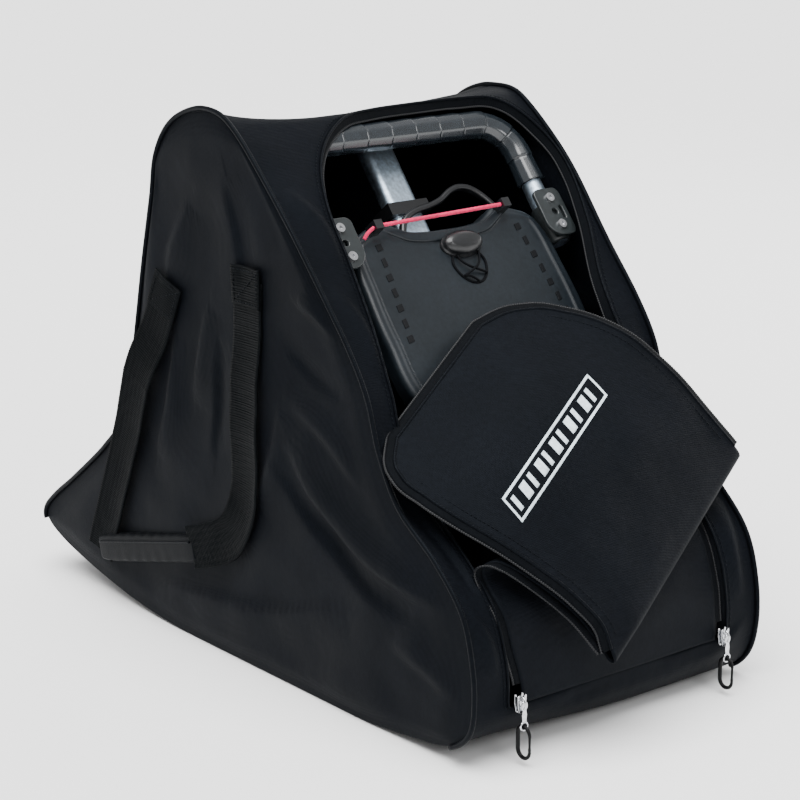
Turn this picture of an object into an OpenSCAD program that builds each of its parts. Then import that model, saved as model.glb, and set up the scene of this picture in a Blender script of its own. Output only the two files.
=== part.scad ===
// Carry bag holding a folded golf push cart, front flap unzipped and folded over.
// Millimetres, +Z up. The opening faces -Y. The origin is the centre of the base's underside.

/* [Bag] */
// Width of the bag over its side panels
bag_w = 378; // [368:2:400]
// Thickness of the padded fabric panels
fabric_t = 3; // [2:0.5:4]
// Height of the piping that stands out of the side seams
piping_h = 3.5; // [2:0.5:5]

/* [Front opening] */
// Half width of the opening at its foot, where the zip ends
foot_half_w = 145; // [140:1:150]
// Height of the foot of the opening above the floor
foot_z = 56; // [50:1:70]
// Half width of the opening at its shoulders
shoulder_half_w = 162; // [150:1:165]
// Height of the shoulders of the opening
shoulder_z = 472; // [440:2:490]
// Height of the top of the opening
arch_top_z = 545; // [530:1:546]
// Width of the zip tape sewn to the bag
tape_w = 6; // [5:0.5:8]
// Width of one side of the zip's coil
coil_w = 3; // [2:0.5:4]

/* [Flap] */
// Width of the folded flap along its lower crease
flap_w = 288; // [270:2:296]
// Length of the part of the flap that lies on top
flap_top_l = 292; // [280:2:300]
// Radius of the corners at the flap's end
flap_corner_r = 66; // [50:2:80]

/* [Carry handles] */
// Width of the handle webbing
webbing_w = 38; // [30:1:40]
// Thickness of the handle webbing
webbing_t = 2.5; // [2:0.5:3]
// Length of the wrapped grip
grip_l = 190; // [150:5:195]

/* [Cart] */
// Sideways offset of the cart from the middle of the bag
cart_x = 22; // [0:1:22]
// Diameter of the handlebar tube
bar_d = 22; // [18:1:24]
// Diameter of the handlebar grip
bar_grip_d = 29; // [27:1:30]
// Half width of the handlebar between leg centres
bar_half_w = 146; // [130:1:147]
// Diameter of the two side wheels
side_wheel_d = 270; // [240:2:272]
// Diameter of the front wheel
front_wheel_d = 196; // [180:2:200]

/* [Hidden] */
$fn = 48;

half_w = bag_w / 2;
inner_half_w = half_w - fabric_t;

// Side view of the bag as [y, z], from the front foot over the nose and the top to the tail and back
CONTROL = [
  [-300, 0], [-345, 5], [-370, 26], [-380, 60], [-378, 104], [-362, 152], [-326, 190], [-272, 230],
  [-242, 276], [-225, 325], [-198, 366], [-158, 412], [-112, 463], [-60, 515], [-18, 552], [12, 567],
  [50, 567], [95, 548], [122, 514], [132, 470], [150, 400], [168, 322], [184, 257], [202, 213],
  [244, 172], [311, 121], [360, 86], [378, 64], [364, 49], [310, 31], [206, 10], [120, 1], [60, 0]
];
COUNT = len(CONTROL);
STEPS = 4;
FOOT_SEGMENT = 0;
HEAD_SEGMENT = 14;
CREST_SEGMENT = 18;
TAIL_SEGMENT = 27;

function unit(v) = v / norm(v);
function control(i) = CONTROL[(i + COUNT) % COUNT];
function heading(i) = unit(control(i + 1) - control(i - 1));
function hermite(a, b, ta, tb, t) =
  a * (2 * pow(t, 3) - 3 * pow(t, 2) + 1) + ta * (pow(t, 3) - 2 * pow(t, 2) + t)
  + b * (3 * pow(t, 2) - 2 * pow(t, 3)) + tb * (pow(t, 3) - pow(t, 2));
function on_floor(p) = [p[0], max(p[1], 0)];
function sample(i, t) =
  let (a = control(i), b = control(i + 1), reach = norm(b - a))
  on_floor(hermite(a, b, heading(i) * reach, heading(i + 1) * reach, t));
OUTLINE = [for (i = [0:COUNT - 1], k = [0:STEPS - 1]) sample(i, k / STEPS)];
TOTAL = len(OUTLINE);
function outline_at(k) = OUTLINE[(k + TOTAL) % TOTAL];
// Unit vector that points into the bag
function inward(k) = let (d = unit(outline_at(k + 1) - outline_at(k - 1))) [d[1], -d[0]];
function shifted(k, depth) = outline_at(k) + inward(k) * depth;

// Layer of the bag's wall between two depths below its surface, from one control point to another
module wall_layer(first, last, depth_out, depth_in, x0, x1) {
  outer = [for (k = [first * STEPS:last * STEPS]) shifted(k, depth_out)];
  inner = [for (k = [last * STEPS:-1:first * STEPS]) shifted(k, depth_in)];
  across(x0, x1) polygon(concat(outer, inner));
}

// Extrudes a side view [y, z] along X
module across(x0, x1) {
  translate([x0, 0, 0]) rotate([90, 0, 90]) linear_extrude(x1 - x0) children();
}

// Extrudes a front view [x, z] along Y
module from_front(y0, y1) {
  translate([0, y1, 0]) rotate([90, 0, 0]) linear_extrude(y1 - y0) children();
}

module mirrored(side) {
  mirror([side > 0 ? 0 : 1, 0, 0]) children();
}

// ---- bag shell ----
module side_panel(side) {
  color("#20242c") mirrored(side) across(inner_half_w, half_w) polygon(OUTLINE);
}
module left_side_panel() { side_panel(-1); }
module right_side_panel() { side_panel(1); }

module wall(first, last) {
  color("#1c2028") wall_layer(first, last, 0, fabric_t, -inner_half_w, inner_half_w);
}
module base_panel() { wall(TAIL_SEGMENT, COUNT + FOOT_SEGMENT); }
module rear_panel() { wall(CREST_SEGMENT, TAIL_SEGMENT); }
module top_panel() { wall(HEAD_SEGMENT, CREST_SEGMENT); }

// Front view of the opening's edge, moved outward by grow
ARCH_STEPS = 12;
function arch_corner(grow, t) = [
  (shoulder_half_w + grow) * pow(cos(t), 0.85),
  shoulder_z + (arch_top_z + grow - shoulder_z) * pow(sin(t), 0.85)
];
function arch_side(grow) = concat(
  [[foot_half_w + grow, foot_z]],
  [for (k = [0:ARCH_STEPS]) arch_corner(grow, 90 * k / ARCH_STEPS)]
);
function other_side(points) = [for (k = [len(points) - 2:-1:0]) [-points[k][0], points[k][1]]];
function arch(grow) = concat(arch_side(grow), other_side(arch_side(grow)));

FRONT_Y = -440;
module arch_prism(grow) { from_front(FRONT_Y, 40) polygon(arch(grow)); }

module front_surround() {
  color("#1c2028") difference() {
    wall(FOOT_SEGMENT, HEAD_SEGMENT);
    arch_prism(0);
  }
}

module piping(side) {
  piping_w = 6;
  color("#0e1014") mirrored(side)
    wall_layer(2, TAIL_SEGMENT, -piping_h, 0, half_w - piping_w, half_w + 1);
}
module left_piping() { piping(-1); }
module right_piping() { piping(1); }

// Strip of the front wall between two distances from the opening's edge
module zip_strip(from_edge, to_edge, depth_out, depth_in) {
  difference() {
    intersection() {
      wall_layer(3, HEAD_SEGMENT, depth_out, depth_in, -inner_half_w, inner_half_w);
      arch_prism(-from_edge);
    }
    arch_prism(-to_edge);
  }
}
coil_edge = tape_w + coil_w;
module body_zip_tape() { color("#14161a") zip_strip(0, tape_w, 0.6, 2.4); }
module body_zip_coil() { color("#3a3d42") zip_strip(tape_w, coil_edge, 0, 3); }

// ---- flap ----
zip_gap = 1;
// The flap's lower corners end above and inside the sliders, which it passes as it folds down
slider_clear_x = foot_half_w - coil_edge - 8;
slider_clear_z = foot_z + 20;
FOLD_RISE = 10;
FOLD_Z = 190;
// Half plane below the flap's first fold, which rises to the right
module below_fold() {
  translate([0, 0, FOLD_Z]) rotate([0, -FOLD_RISE, 0])
    translate([-300, FRONT_Y, -300]) cube([600, 400, 300]);
}
module flap_strip(from_edge, to_edge) {
  difference() {
    intersection() {
      wall_layer(3, HEAD_SEGMENT, 0, fabric_t, -inner_half_w, inner_half_w);
      arch_prism(-from_edge);
      below_fold();
    }
    if (to_edge > 0) arch_prism(-to_edge);
    from_front(FRONT_Y, 0) translate([-300, 0]) square([600, foot_z + 4]);
    for (side = [-1, 1]) mirrored(side)
      from_front(FRONT_Y, 0) translate([slider_clear_x, 0]) square([60, slider_clear_z]);
  }
}
module flap_base() { color("#1c2028") flap_strip(coil_edge + zip_gap + coil_w, 0); }
module flap_base_coil() { color("#3a3d42") flap_strip(coil_edge + zip_gap, coil_edge + zip_gap + coil_w); }

// The flap's second crease: its middle, and the turn of the layers that meet there
CREASE = [79, -385, 166];
CREASE_TILT = 46;
CREASE_LEAN = -9;
CREASE_TURN = 25;
module on_crease() {
  translate(CREASE) rotate([CREASE_TILT, CREASE_LEAN, 0]) rotate([0, 0, CREASE_TURN]) children();
}
// Side views [along, out] of the two layers above the crease
TOP_LAYER = [[0, 5], [50, 17], [100, 26], [150, 28], [200, 23], [250, 14], [300, 3]];
tape_edge = 8;
MIDDLE_LAYER = [[0, 1], [40, 9], [85, 16], [130, 19], [170, 18]];
function raised(points, h) = [for (p = points) p + [0, h]];
function reversed(points) = [for (k = [len(points) - 1:-1:0]) points[k]];
module layer(points, width, thickness) {
  translate([-width / 2, 0, 0]) rotate([90, 0, 90])
    linear_extrude(width) polygon(concat(points, reversed(raised(points, thickness))));
}
module flap_end(grow) {
  r = flap_corner_r;
  w = flap_w / 2 + grow;
  l = flap_top_l + grow;
  linear_extrude(120, center = true) union() {
    translate([-w, 0]) square([2 * w, l - r]);
    translate([-w + r, 0]) square([2 * (w - r), l]);
    for (x = [-w + r, w - r]) translate([x, l - r]) circle(r);
  }
}
// Space kept between the flap's end and the front it lies against
module front_clearance() {
  wall_layer(3, HEAD_SEGMENT, -1, 8, -half_w, half_w);
}
module flap_top() {
  color("#22262e") difference() {
    on_crease() intersection() {
      layer(TOP_LAYER, flap_w, fabric_t);
      flap_end(-tape_edge);
    }
    front_clearance();
  }
}
module flap_top_tape() {
  color("#14161a") difference() {
    on_crease() difference() {
      intersection() {
        layer(TOP_LAYER, flap_w, fabric_t);
        flap_end(0);
      }
      flap_end(-tape_edge);
    }
    front_clearance();
  }
}
module flap_middle() {
  color("#1c2028") on_crease() intersection() {
    layer(MIDDLE_LAYER, flap_w, fabric_t);
    linear_extrude(120, center = true)
      polygon([[-flap_w / 2, 0], [flap_w / 2, 0], [flap_w / 2, 32], [-flap_w / 2, 146]]);
  }
}

// ---- zip sliders, pulls and snap hooks ----
track_x = foot_half_w - coil_edge - zip_gap / 2;
PULL_Y = -391.2;
pull_pin_r = 1.25;
hook_z = 38.5;
hook_half_w = 8;
hook_rod_r = 1.5;
hook_straight = 15;

module at_track(side) {
  translate([side * track_x, 0, 0]) children();
}
module zip_slider(side) {
  color("silver") at_track(side) {
    difference() {
      translate([-5.5, -388, 51]) cube([11, 6, 17]);
      translate([-1, -384, 50]) cube([2, 3, 19]);
    }
    for (x = [-5.4, 3.4]) translate([x, -393, 58]) cube([2, 6, 8]);
    translate([-4.5, PULL_Y, 62]) rotate([0, 90, 0]) cylinder(h = 9, r = pull_pin_r, $fn = 24);
  }
}
module zip_slider_left() { zip_slider(-1); }
module zip_slider_right() { zip_slider(1); }

module zip_pull(side) {
  sleeve = 6;
  color("#c8ccd0") at_track(side) difference() {
    union() {
      translate([-sleeve / 2, PULL_Y, 62]) rotate([0, 90, 0]) cylinder(h = sleeve, r = 2.5, $fn = 32);
      translate([-3, PULL_Y - 0.8, 40]) cube([6, 1.6, 20.5]);
      translate([0, PULL_Y + 0.8, hook_z]) rotate([90, 0, 0]) cylinder(h = 1.6, r = 5, $fn = 40);
    }
    translate([-sleeve, PULL_Y, 62]) rotate([0, 90, 0])
      cylinder(h = 2 * sleeve, r = pull_pin_r + 0.05, $fn = 24);
    translate([0, PULL_Y + 2, hook_z]) rotate([90, 0, 0]) cylinder(h = 4, r = 2.9, $fn = 32);
  }
}
module zip_pull_left() { zip_pull(-1); }
module zip_pull_right() { zip_pull(1); }

hook_top_z = hook_z - hook_half_w;
hook_low_z = hook_top_z - hook_straight;
module hook_bend(z, turn) {
  translate([0, PULL_Y, z]) rotate([90, turn, 90])
    rotate_extrude(angle = 180) translate([hook_half_w, 0]) circle(hook_rod_r, $fn = 20);
}
module carabiner(side) {
  color("#101010") at_track(side) {
    hook_bend(hook_top_z, 0);
    hook_bend(hook_low_z, 180);
    translate([0, PULL_Y + hook_half_w, hook_low_z]) cylinder(h = hook_straight, r = hook_rod_r, $fn = 20);
  }
}
module carabiner_left() { carabiner(-1); }
module carabiner_right() { carabiner(1); }

gate_gap = 0.5;
module carabiner_gate(side) {
  color("#303030") at_track(side)
    translate([0, PULL_Y - hook_half_w, hook_low_z + gate_gap])
      cylinder(h = hook_straight - 2 * gate_gap, r = 1.2, $fn = 20);
}
module carabiner_gate_left() { carabiner_gate(-1); }
module carabiner_gate_right() { carabiner_gate(1); }

// ---- carry handles, drawn for the right side and mirrored ----
strap_x = half_w + 3;
// Middle of the wrapped grip [y, z], and how far it slopes down to the rear
GRIP_MIDDLE = [147, 84];
GRIP_SLOPE = -14.4;
FRONT_STRAP = [[-40, 380], [-43, 300], [-43, 220], [-36, 172], [-12, 138], [28, 118], [58, 107]];
REAR_STRAP = [[113, 348], [150, 272], [182, 200], [208, 140], [232, 90], [246, 50]];
HANGING_FROM = [-40, 371];
HANGING_FALL = -12.2;
ANCHORS = [[-40, 390, 0], [107, 357, 0]];

function across_path(points, k) =
  let (a = points[max(k - 1, 0)], b = points[min(k + 1, len(points) - 1)], d = unit(b - a)) [-d[1], d[0]];
function beside(points, w) = [for (k = [0:len(points) - 1]) points[k] + across_path(points, k) * w];
module strap(points, w) {
  polygon(concat(beside(points, w / 2), reversed(beside(points, -w / 2))));
}
module on_grip() {
  translate([strap_x + webbing_t / 2, GRIP_MIDDLE[0], GRIP_MIDDLE[1]])
    rotate([GRIP_SLOPE, 0, 0]) children();
}
grip_webbing_w = 26;
grip_h = 32;
module handle_webbing(side) {
  color("#15171b") mirrored(side) {
    difference() {
      across(strap_x, strap_x + webbing_t) union() {
        strap(FRONT_STRAP, webbing_w);
        strap(REAR_STRAP, webbing_w);
      }
      on_grip() translate([-20, -grip_l / 2, -grip_h / 2 - 0.3]) cube([40, grip_l, grip_h + 0.6]);
      translate([strap_x - 5, HANGING_FROM[0] - 60, HANGING_FROM[1] - 1]) rotate([HANGING_FALL, 0, 0])
        translate([0, -10, 0]) cube([20, 300, 60]);
    }
    on_grip() translate([-webbing_t / 2, -grip_l / 2 - 5, -grip_webbing_w / 2])
      cube([webbing_t, grip_l + 10, grip_webbing_w]);
  }
}
module left_handle_webbing() { handle_webbing(-1); }
module right_handle_webbing() { handle_webbing(1); }

// Section of the grip: flat towards the bag and rounded outside
module grip_section() {
  back = -3;
  front = 11;
  r = 5;
  translate([back, -grip_h / 2]) square([front - back - r, grip_h]);
  translate([back, -grip_h / 2 + r]) square([front - back, grip_h - 2 * r]);
  for (z = [-grip_h / 2 + r, grip_h / 2 - r]) translate([front - r, z]) circle(r, $fn = 32);
}
module handle_grip(side) {
  color("#101215") mirrored(side) on_grip() difference() {
    translate([0, grip_l / 2, 0]) rotate([90, 0, 0]) linear_extrude(grip_l) grip_section();
    translate([-webbing_t / 2, -grip_l, -grip_webbing_w / 2]) cube([webbing_t, 2 * grip_l, grip_webbing_w]);
  }
}
module left_handle_grip() { handle_grip(-1); }
module right_handle_grip() { handle_grip(1); }

module handle_anchors(side) {
  color("#15171b") mirrored(side) for (a = ANCHORS)
    translate([half_w, a[0] - webbing_w / 2, a[1] - 19]) cube([webbing_t, webbing_w, 40]);
}
module left_handle_anchors() { handle_anchors(-1); }
module right_handle_anchors() { handle_anchors(1); }

// ---- cart: pieces that lie along the sloping front, as [x, up the slope, out of the opening] ----
SLOPE = 51.4;
SLOPE_ORIGIN = [-241, 295];
module on_slope() {
  translate([cart_x, SLOPE_ORIGIN[0], SLOPE_ORIGIN[1]]) rotate([SLOPE, 0, 0]) children();
}
BAR_OUT = -36;
BAR_UP = 328;
LEG_UP = 250;
BEND_R = 42;

module up_leg(from, h, r) {
  translate([bar_half_w, from, BAR_OUT]) rotate([-90, 0, 0]) cylinder(h = h, r = r);
}
module along_bar(x, h, r) {
  translate([x, BAR_UP, BAR_OUT]) rotate([0, 90, 0]) cylinder(h = h, r = r);
}
module bar_shape(r, leg_from) {
  for (side = [-1, 1]) mirrored(side) {
    up_leg(leg_from, BAR_UP - BEND_R - leg_from, r);
    translate([bar_half_w - BEND_R, BAR_UP - BEND_R, BAR_OUT])
      rotate_extrude(angle = 90) translate([BEND_R, 0]) circle(r);
  }
  along_bar(-bar_half_w + BEND_R, 2 * (bar_half_w - BEND_R), r);
}
module handlebar_tube() {
  color("#808890") on_slope() bar_shape(bar_d / 2, BRACKET_UP);
}
RIB_PITCH = 32;
module handlebar_grip() {
  rib_w = 5;
  rib_r = bar_grip_d / 2 + 1;
  color("#25292e") on_slope() difference() {
    union() {
      bar_shape(bar_grip_d / 2, LEG_UP);
      for (x = [-96:RIB_PITCH:96]) along_bar(x - rib_w / 2, rib_w, rib_r);
      for (side = [-1, 1]) mirrored(side) up_leg(LEG_UP, rib_w, rib_r);
    }
    bar_shape(bar_d / 2, LEG_UP - 10);
  }
}

bracket_w = 36;
bracket_l = 56;
BRACKET_UP = 176;
BRACKET_X = bar_half_w - 25;
SCREW_X = BRACKET_X + 18;
SCREW_UPS = [BRACKET_UP + 12, BRACKET_UP + 44];
BRACKET_OUT = BAR_OUT + 18;
module bracket(side) {
  plate_t = 4;
  color("#3c4248") on_slope() mirrored(side) difference() {
    union() {
      translate([BRACKET_X, BRACKET_UP, BRACKET_OUT]) cube([bracket_w, bracket_l, plate_t]);
      up_leg(BRACKET_UP, 44, bar_d / 2 + 3);
      translate([bar_half_w - 9, BRACKET_UP, BAR_OUT]) cube([18, 44, 18]);
    }
    up_leg(BRACKET_UP - 1, bracket_l + 2, bar_d / 2);
    for (up = SCREW_UPS)
      translate([SCREW_X, up, BRACKET_OUT - 1]) cylinder(h = 6, r = 2.5, $fn = 24);
    translate([SCREW_X, BRACKET_UP + 28, BRACKET_OUT - 1]) cylinder(h = 6, r = 4, $fn = 32);
  }
}
module handle_bracket_left() { bracket(-1); }
module handle_bracket_right() { bracket(1); }

module bracket_screws() {
  color("#1a1a1a") on_slope() for (side = [-1, 1], up = SCREW_UPS) mirrored(side)
    translate([SCREW_X, up, BRACKET_OUT]) {
      cylinder(h = 4, r = 2.4, $fn = 24);
      difference() {
        translate([0, 0, 4]) cylinder(h = 3, r = 5, $fn = 32);
        translate([0, 0, 5.5]) cylinder(h = 2, r = 2, $fn = 6);
      }
    }
}

// Outline of the frame cover as [x, up], with a shallow notch in its top edge
NOTCH_HALF_W = 72;
NOTCH_DEPTH = 18;
COVER_TOP = 228;
function cover_half(inset) = [
  [104 - inset, 6 + inset], [120 - inset, 24 + inset], [132 - inset, 96], [131 - inset, 150],
  [127 - inset, 190], [119 - inset, 208 - inset], [108 - inset, 218 - inset],
  [NOTCH_HALF_W + inset, COVER_TOP - inset]
];
function notch(inset) = [for (k = [0:8]) let (a = 180 * k / 8) [
  (NOTCH_HALF_W - 12 + inset) * cos(a),
  COVER_TOP - NOTCH_DEPTH - inset + 8 * (1 - sin(a))
]];
function cover_outline(inset) = concat(cover_half(inset), notch(inset), other_ends(cover_half(inset)));
function other_ends(points) = [for (k = [len(points) - 1:-1:0]) [-points[k][0], points[k][1]]];

COVER_OUT = -26;
COVER_LOW = -46;
TRAY_LOW = -68;
shell_t = 3;
module cover_slab(low, high, inset) {
  translate([0, 0, low]) linear_extrude(high - low) polygon(cover_outline(inset));
}
DASHES = 7;
module frame_cover() {
  color("#3d454d") on_slope() {
    difference() {
      cover_slab(COVER_LOW, COVER_OUT, 0);
      cover_slab(COVER_LOW - 1, COVER_OUT - shell_t, shell_t);
    }
    for (side = [-1, 1], k = [0:DASHES - 1])
      translate([side * (92 + k * 2) - 3, 194 - 17 * k, COVER_OUT]) cube([6, 11, 1]);
  }
}
module frame_tray() {
  color("#2a3036") on_slope() difference() {
    cover_slab(TRAY_LOW, COVER_LOW, 0);
    cover_slab(TRAY_LOW + shell_t, COVER_LOW + 1, shell_t);
  }
}

// Peaked bar above the notch, with its feet on the tray's top edge
GRAB_HANDLE = [[-34, 208], [-26, 234], [-4, 251], [28, 253], [52, 265], [78, 265], [96, 250], [100, 214]];
module grab_handle() {
  color("#14171a") on_slope() difference() {
    translate([0, 0, -58]) linear_extrude(9) strap(GRAB_HANDLE, 9);
    cover_slab(TRAY_LOW, COVER_OUT, 0);
  }
}

BALL_UP = 188;
BALL_R = 15;
module strap_ball() {
  color("#1c2024") on_slope() translate([7, BALL_UP, COVER_OUT]) intersection() {
    translate([0, 0, -3]) {
      for (x = [-9, 9]) translate([x, 0, 0]) sphere(BALL_R);
      rotate([0, 90, 0]) cylinder(h = 18, r = BALL_R, center = true);
    }
    translate([-30, -30, 0]) cube([60, 60, 30]);
  }
}

// Route of the loop of thin bungee cord below the ball, on the face of the cover
LOOP_D = 3;
LOOP_ROUTE = [
  [-6, 180, -24], [-10, 176, -24], [-13, 171, -24], [-14, 166, -24], [-13, 161, -24],
  [-11, 156, -24], [-8, 151, -24], [-4, 147, -24], [1, 144, -24], [7, 143, -24], [13, 144, -24],
  [18, 147, -24], [22, 151, -24], [25, 156, -24], [27, 161, -24], [28, 166, -24], [27, 171, -24],
  [24, 176, -24], [20, 180, -24]
];
SIDES = 8;
function along(points, k) = unit(points[min(k + 1, len(points) - 1)] - points[max(k - 1, 0)]);
function ring(points, k, r) =
  let (t = along(points, k), side = unit(cross(t, [0, 0, 1])), up = cross(side, t))
  [for (j = [0:SIDES - 1]) points[k] + r * (cos(360 * j / SIDES) * side + sin(360 * j / SIDES) * up)];
module tube(points, r) {
  n = len(points);
  rings = [for (k = [0:n - 1], p = ring(points, k, r)) p];
  skin = [for (k = [0:n - 2], j = [0:SIDES - 1])
    [k * SIDES + j, (k + 1) * SIDES + j, (k + 1) * SIDES + (j + 1) % SIDES, k * SIDES + (j + 1) % SIDES]];
  ends = [[for (j = [0:SIDES - 1]) j], [for (j = [SIDES - 1:-1:0]) (n - 1) * SIDES + j]];
  polyhedron(rings, concat(skin, ends));
}
module strap_loop() {
  color("#0c0c0c") on_slope() tube(LOOP_ROUTE, LOOP_D / 2);
}

STRAP_LEFT = [-94, 217];
STRAP_RIGHT = [76, 221];
STRAP_OUT = -14;
STRAP_R = 2;
strap_turn = atan2(STRAP_RIGHT[1] - STRAP_LEFT[1], STRAP_RIGHT[0] - STRAP_LEFT[0]);
module strap_line() {
  translate([STRAP_LEFT[0], STRAP_LEFT[1], STRAP_OUT]) rotate([0, 90, strap_turn])
    cylinder(h = norm(STRAP_RIGHT - STRAP_LEFT), r = STRAP_R, $fn = 24);
}
module bag_strap() {
  color("#d81e5b") on_slope() strap_line();
}
module strap_hooks() {
  color("#14171a") on_slope() for (p = [STRAP_LEFT, STRAP_RIGHT]) difference() {
    translate([p[0] - 5, p[1] - 5, COVER_OUT]) cube([10, 10, 17]);
    strap_line();
  }
}

// ---- cart: folded frame ----
TUBE_W = 40;
TUBE_H = 20;
module flat_tube(w, h, l, wall_t) {
  r = h / 2 - 2;
  rotate([-90, 0, 0]) difference() {
    linear_extrude(l) flat_section(w, h, r);
    translate([0, 0, wall_t]) linear_extrude(l) flat_section(w - 2 * wall_t, h - 2 * wall_t, r - wall_t);
  }
}
module flat_section(w, h, r) {
  square([w - 2 * r, h], center = true);
  square([w, h - 2 * r], center = true);
  for (x = [-1, 1], y = [-1, 1]) translate([x * (w / 2 - r), y * (h / 2 - r)]) circle(r, $fn = 32);
}
UPPER_TUBE_FROM = 12;
UPPER_TUBE_L = 330;
UPPER_OUT = TRAY_LOW - TUBE_H / 2;
PIN_R = 4.9;
UPPER_PIN_UP = 26;
module upper_frame_tube() {
  color("#aab4c0") on_slope() difference() {
    translate([0, UPPER_TUBE_FROM, UPPER_OUT]) flat_tube(TUBE_W, TUBE_H, UPPER_TUBE_L, 2);
    translate([-30, UPPER_PIN_UP, UPPER_OUT]) rotate([0, 90, 0])
      cylinder(h = 60, r = PIN_R + 0.05, $fn = 32);
  }
}
module tube_clamp() {
  color("#101214") on_slope() difference() {
    translate([-26, 250, UPPER_OUT - 15]) cube([52, 14, 30]);
    translate([0, 240, UPPER_OUT]) rotate([-90, 0, 0])
      linear_extrude(40) flat_section(TUBE_W, TUBE_H, TUBE_H / 2 - 2);
  }
}

// Lower tube in the middle plane, from the fork crown back down to the rear axle [y, z]
LOWER_FRONT = [-204, 246];
LOWER_FALL = -21.5;
LOWER_TUBE_L = 190;
LOWER_PIN_AT = 22;
module on_lower_tube() {
  translate([cart_x, LOWER_FRONT[0], LOWER_FRONT[1]]) rotate([LOWER_FALL, 0, 0]) children();
}
module lower_frame_tube() {
  color("#aab4c0") on_lower_tube() difference() {
    flat_tube(TUBE_W, TUBE_H, LOWER_TUBE_L, 2);
    translate([-30, LOWER_PIN_AT, 0]) rotate([0, 90, 0]) cylinder(h = 60, r = PIN_R + 0.05, $fn = 32);
  }
}
module hinge_pins(h, r) {
  translate([-h / 2, 0, 0]) {
    on_slope() translate([0, UPPER_PIN_UP, UPPER_OUT]) rotate([0, 90, 0]) cylinder(h = h, r = r, $fn = 32);
    on_lower_tube() translate([0, LOWER_PIN_AT, 0]) rotate([0, 90, 0]) cylinder(h = h, r = r, $fn = 32);
  }
}
module frame_hinge_plates() {
  plate_t = 4;
  color("#1a1d21") difference() {
    translate([cart_x, 0, 0]) for (x = [-TUBE_W / 2 - plate_t, TUBE_W / 2])
      across(x, x + plate_t)
        polygon([[-192, 232], [-180, 226], [-152, 258], [-157, 273], [-168, 270], [-194, 243]]);
    hinge_pins(80, PIN_R + 0.05);
  }
}
module frame_hinge_pins() {
  color("silver") hinge_pins(54, PIN_R);
}

// ---- cart: wheels, axles and fork ----
SIDE_AXLE = [0, 160];
SIDE_WHEEL_X = 136;
FRONT_AXLE = [-228, 125];
REAR_AXLE_R = 6;
FRONT_AXLE_R = 5;
RUNNING = 0.05;
BEAM_R = 14;
BEAM_HALF_L = 110;

module on_axle(centre, x) {
  translate([cart_x + x, centre[0], centre[1]]) rotate([0, 90, 0]) children();
}
module tyre_ring(d, w, rim_d) {
  outer = d / 2;
  tread = w / 2 - 8;
  difference() {
    rotate_extrude($fn = 96) polygon([
      [rim_d / 2, -w / 2 + 5], [outer - 14, -w / 2], [outer - 4, -tread], [outer, -tread + 6],
      [outer, tread - 6], [outer - 4, tread], [outer - 14, w / 2], [rim_d / 2, w / 2 - 5]
    ]);
    translate([0, 0, -w]) cylinder(h = 2 * w, r = rim_d / 2, $fn = 96);
  }
}
module spoked_rim(d, w, axle_r, spokes) {
  hub_r = axle_r + 13;
  difference() {
    union() {
      difference() {
        cylinder(h = w, r = d / 2, center = true, $fn = 96);
        cylinder(h = w + 2, r = d / 2 - 8, center = true, $fn = 96);
      }
      cylinder(h = w + 8, r = hub_r, center = true);
      for (k = [0:spokes - 1]) rotate([0, 0, 360 * k / spokes])
        translate([hub_r - 3, -7, -6]) cube([d / 2 - hub_r - 2, 14, 12]);
    }
    cylinder(h = w + 20, r = axle_r + RUNNING, center = true);
  }
}
side_rim_d = side_wheel_d - 54;
front_rim_d = front_wheel_d - 50;
module side_tyre(side) {
  color("#18191b") on_axle(SIDE_AXLE, side * SIDE_WHEEL_X) tyre_ring(side_wheel_d, 42, side_rim_d);
}
module side_rim(side) {
  color("#2b2f34") on_axle(SIDE_AXLE, side * SIDE_WHEEL_X) spoked_rim(side_rim_d, 30, REAR_AXLE_R, 6);
}
module left_wheel_tyre() { side_tyre(-1); }
module left_wheel_rim() { side_rim(-1); }
module right_wheel_tyre() { side_tyre(1); }
module right_wheel_rim() { side_rim(1); }
module front_wheel_tyre() {
  color("#18191b") on_axle(FRONT_AXLE, 0) tyre_ring(front_wheel_d, 38, front_rim_d);
}
module front_wheel_rim() {
  color("#2b2f34") on_axle(FRONT_AXLE, 0) spoked_rim(front_rim_d, 28, FRONT_AXLE_R, 6);
}

module rear_axle_beam() {
  color("#aab4c0") on_axle(SIDE_AXLE, -BEAM_HALF_L) difference() {
    cylinder(h = 2 * BEAM_HALF_L, r = BEAM_R);
    translate([0, 0, -1]) cylinder(h = 2 * BEAM_HALF_L + 2, r = REAR_AXLE_R + RUNNING);
  }
}
axle_half_l = 159;
module rear_axle() {
  color("silver") on_axle(SIDE_AXLE, -axle_half_l) cylinder(h = 2 * axle_half_l, r = REAR_AXLE_R);
}
module axle_nuts() {
  nut_h = 5;
  nut_xs = [-axle_half_l - nut_h + 2, axle_half_l - 2];
  color("#101010") for (x = nut_xs) on_axle(SIDE_AXLE, x) difference() {
    cylinder(h = nut_h, r = 10);
    translate([0, 0, x > 0 ? -1 : nut_h - 2]) cylinder(h = 3, r = REAR_AXLE_R);
  }
}

// Folded wheel arm: an eye round the axle beam and a straight tube to the front
ARM_X = 98;
ARM_RISE = 5;
ARM_L = 280;
module wheel_arm(side) {
  eye_r = BEAM_R + 6;
  color("#8b939c") translate([side * ARM_X, 0, 0]) difference() {
    union() {
      on_axle(SIDE_AXLE, -10) cylinder(h = 20, r = eye_r);
      on_axle_plane() translate([0, 0, eye_r - 4]) cylinder(h = ARM_L, r = 8);
    }
    on_axle(SIDE_AXLE, -12) cylinder(h = 24, r = BEAM_R + RUNNING);
  }
}
module on_axle_plane() {
  translate([cart_x, SIDE_AXLE[0], SIDE_AXLE[1]]) rotate([90 - ARM_RISE, 0, 0]) children();
}
module left_wheel_arm() { wheel_arm(-1); }
module right_wheel_arm() { wheel_arm(1); }

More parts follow.
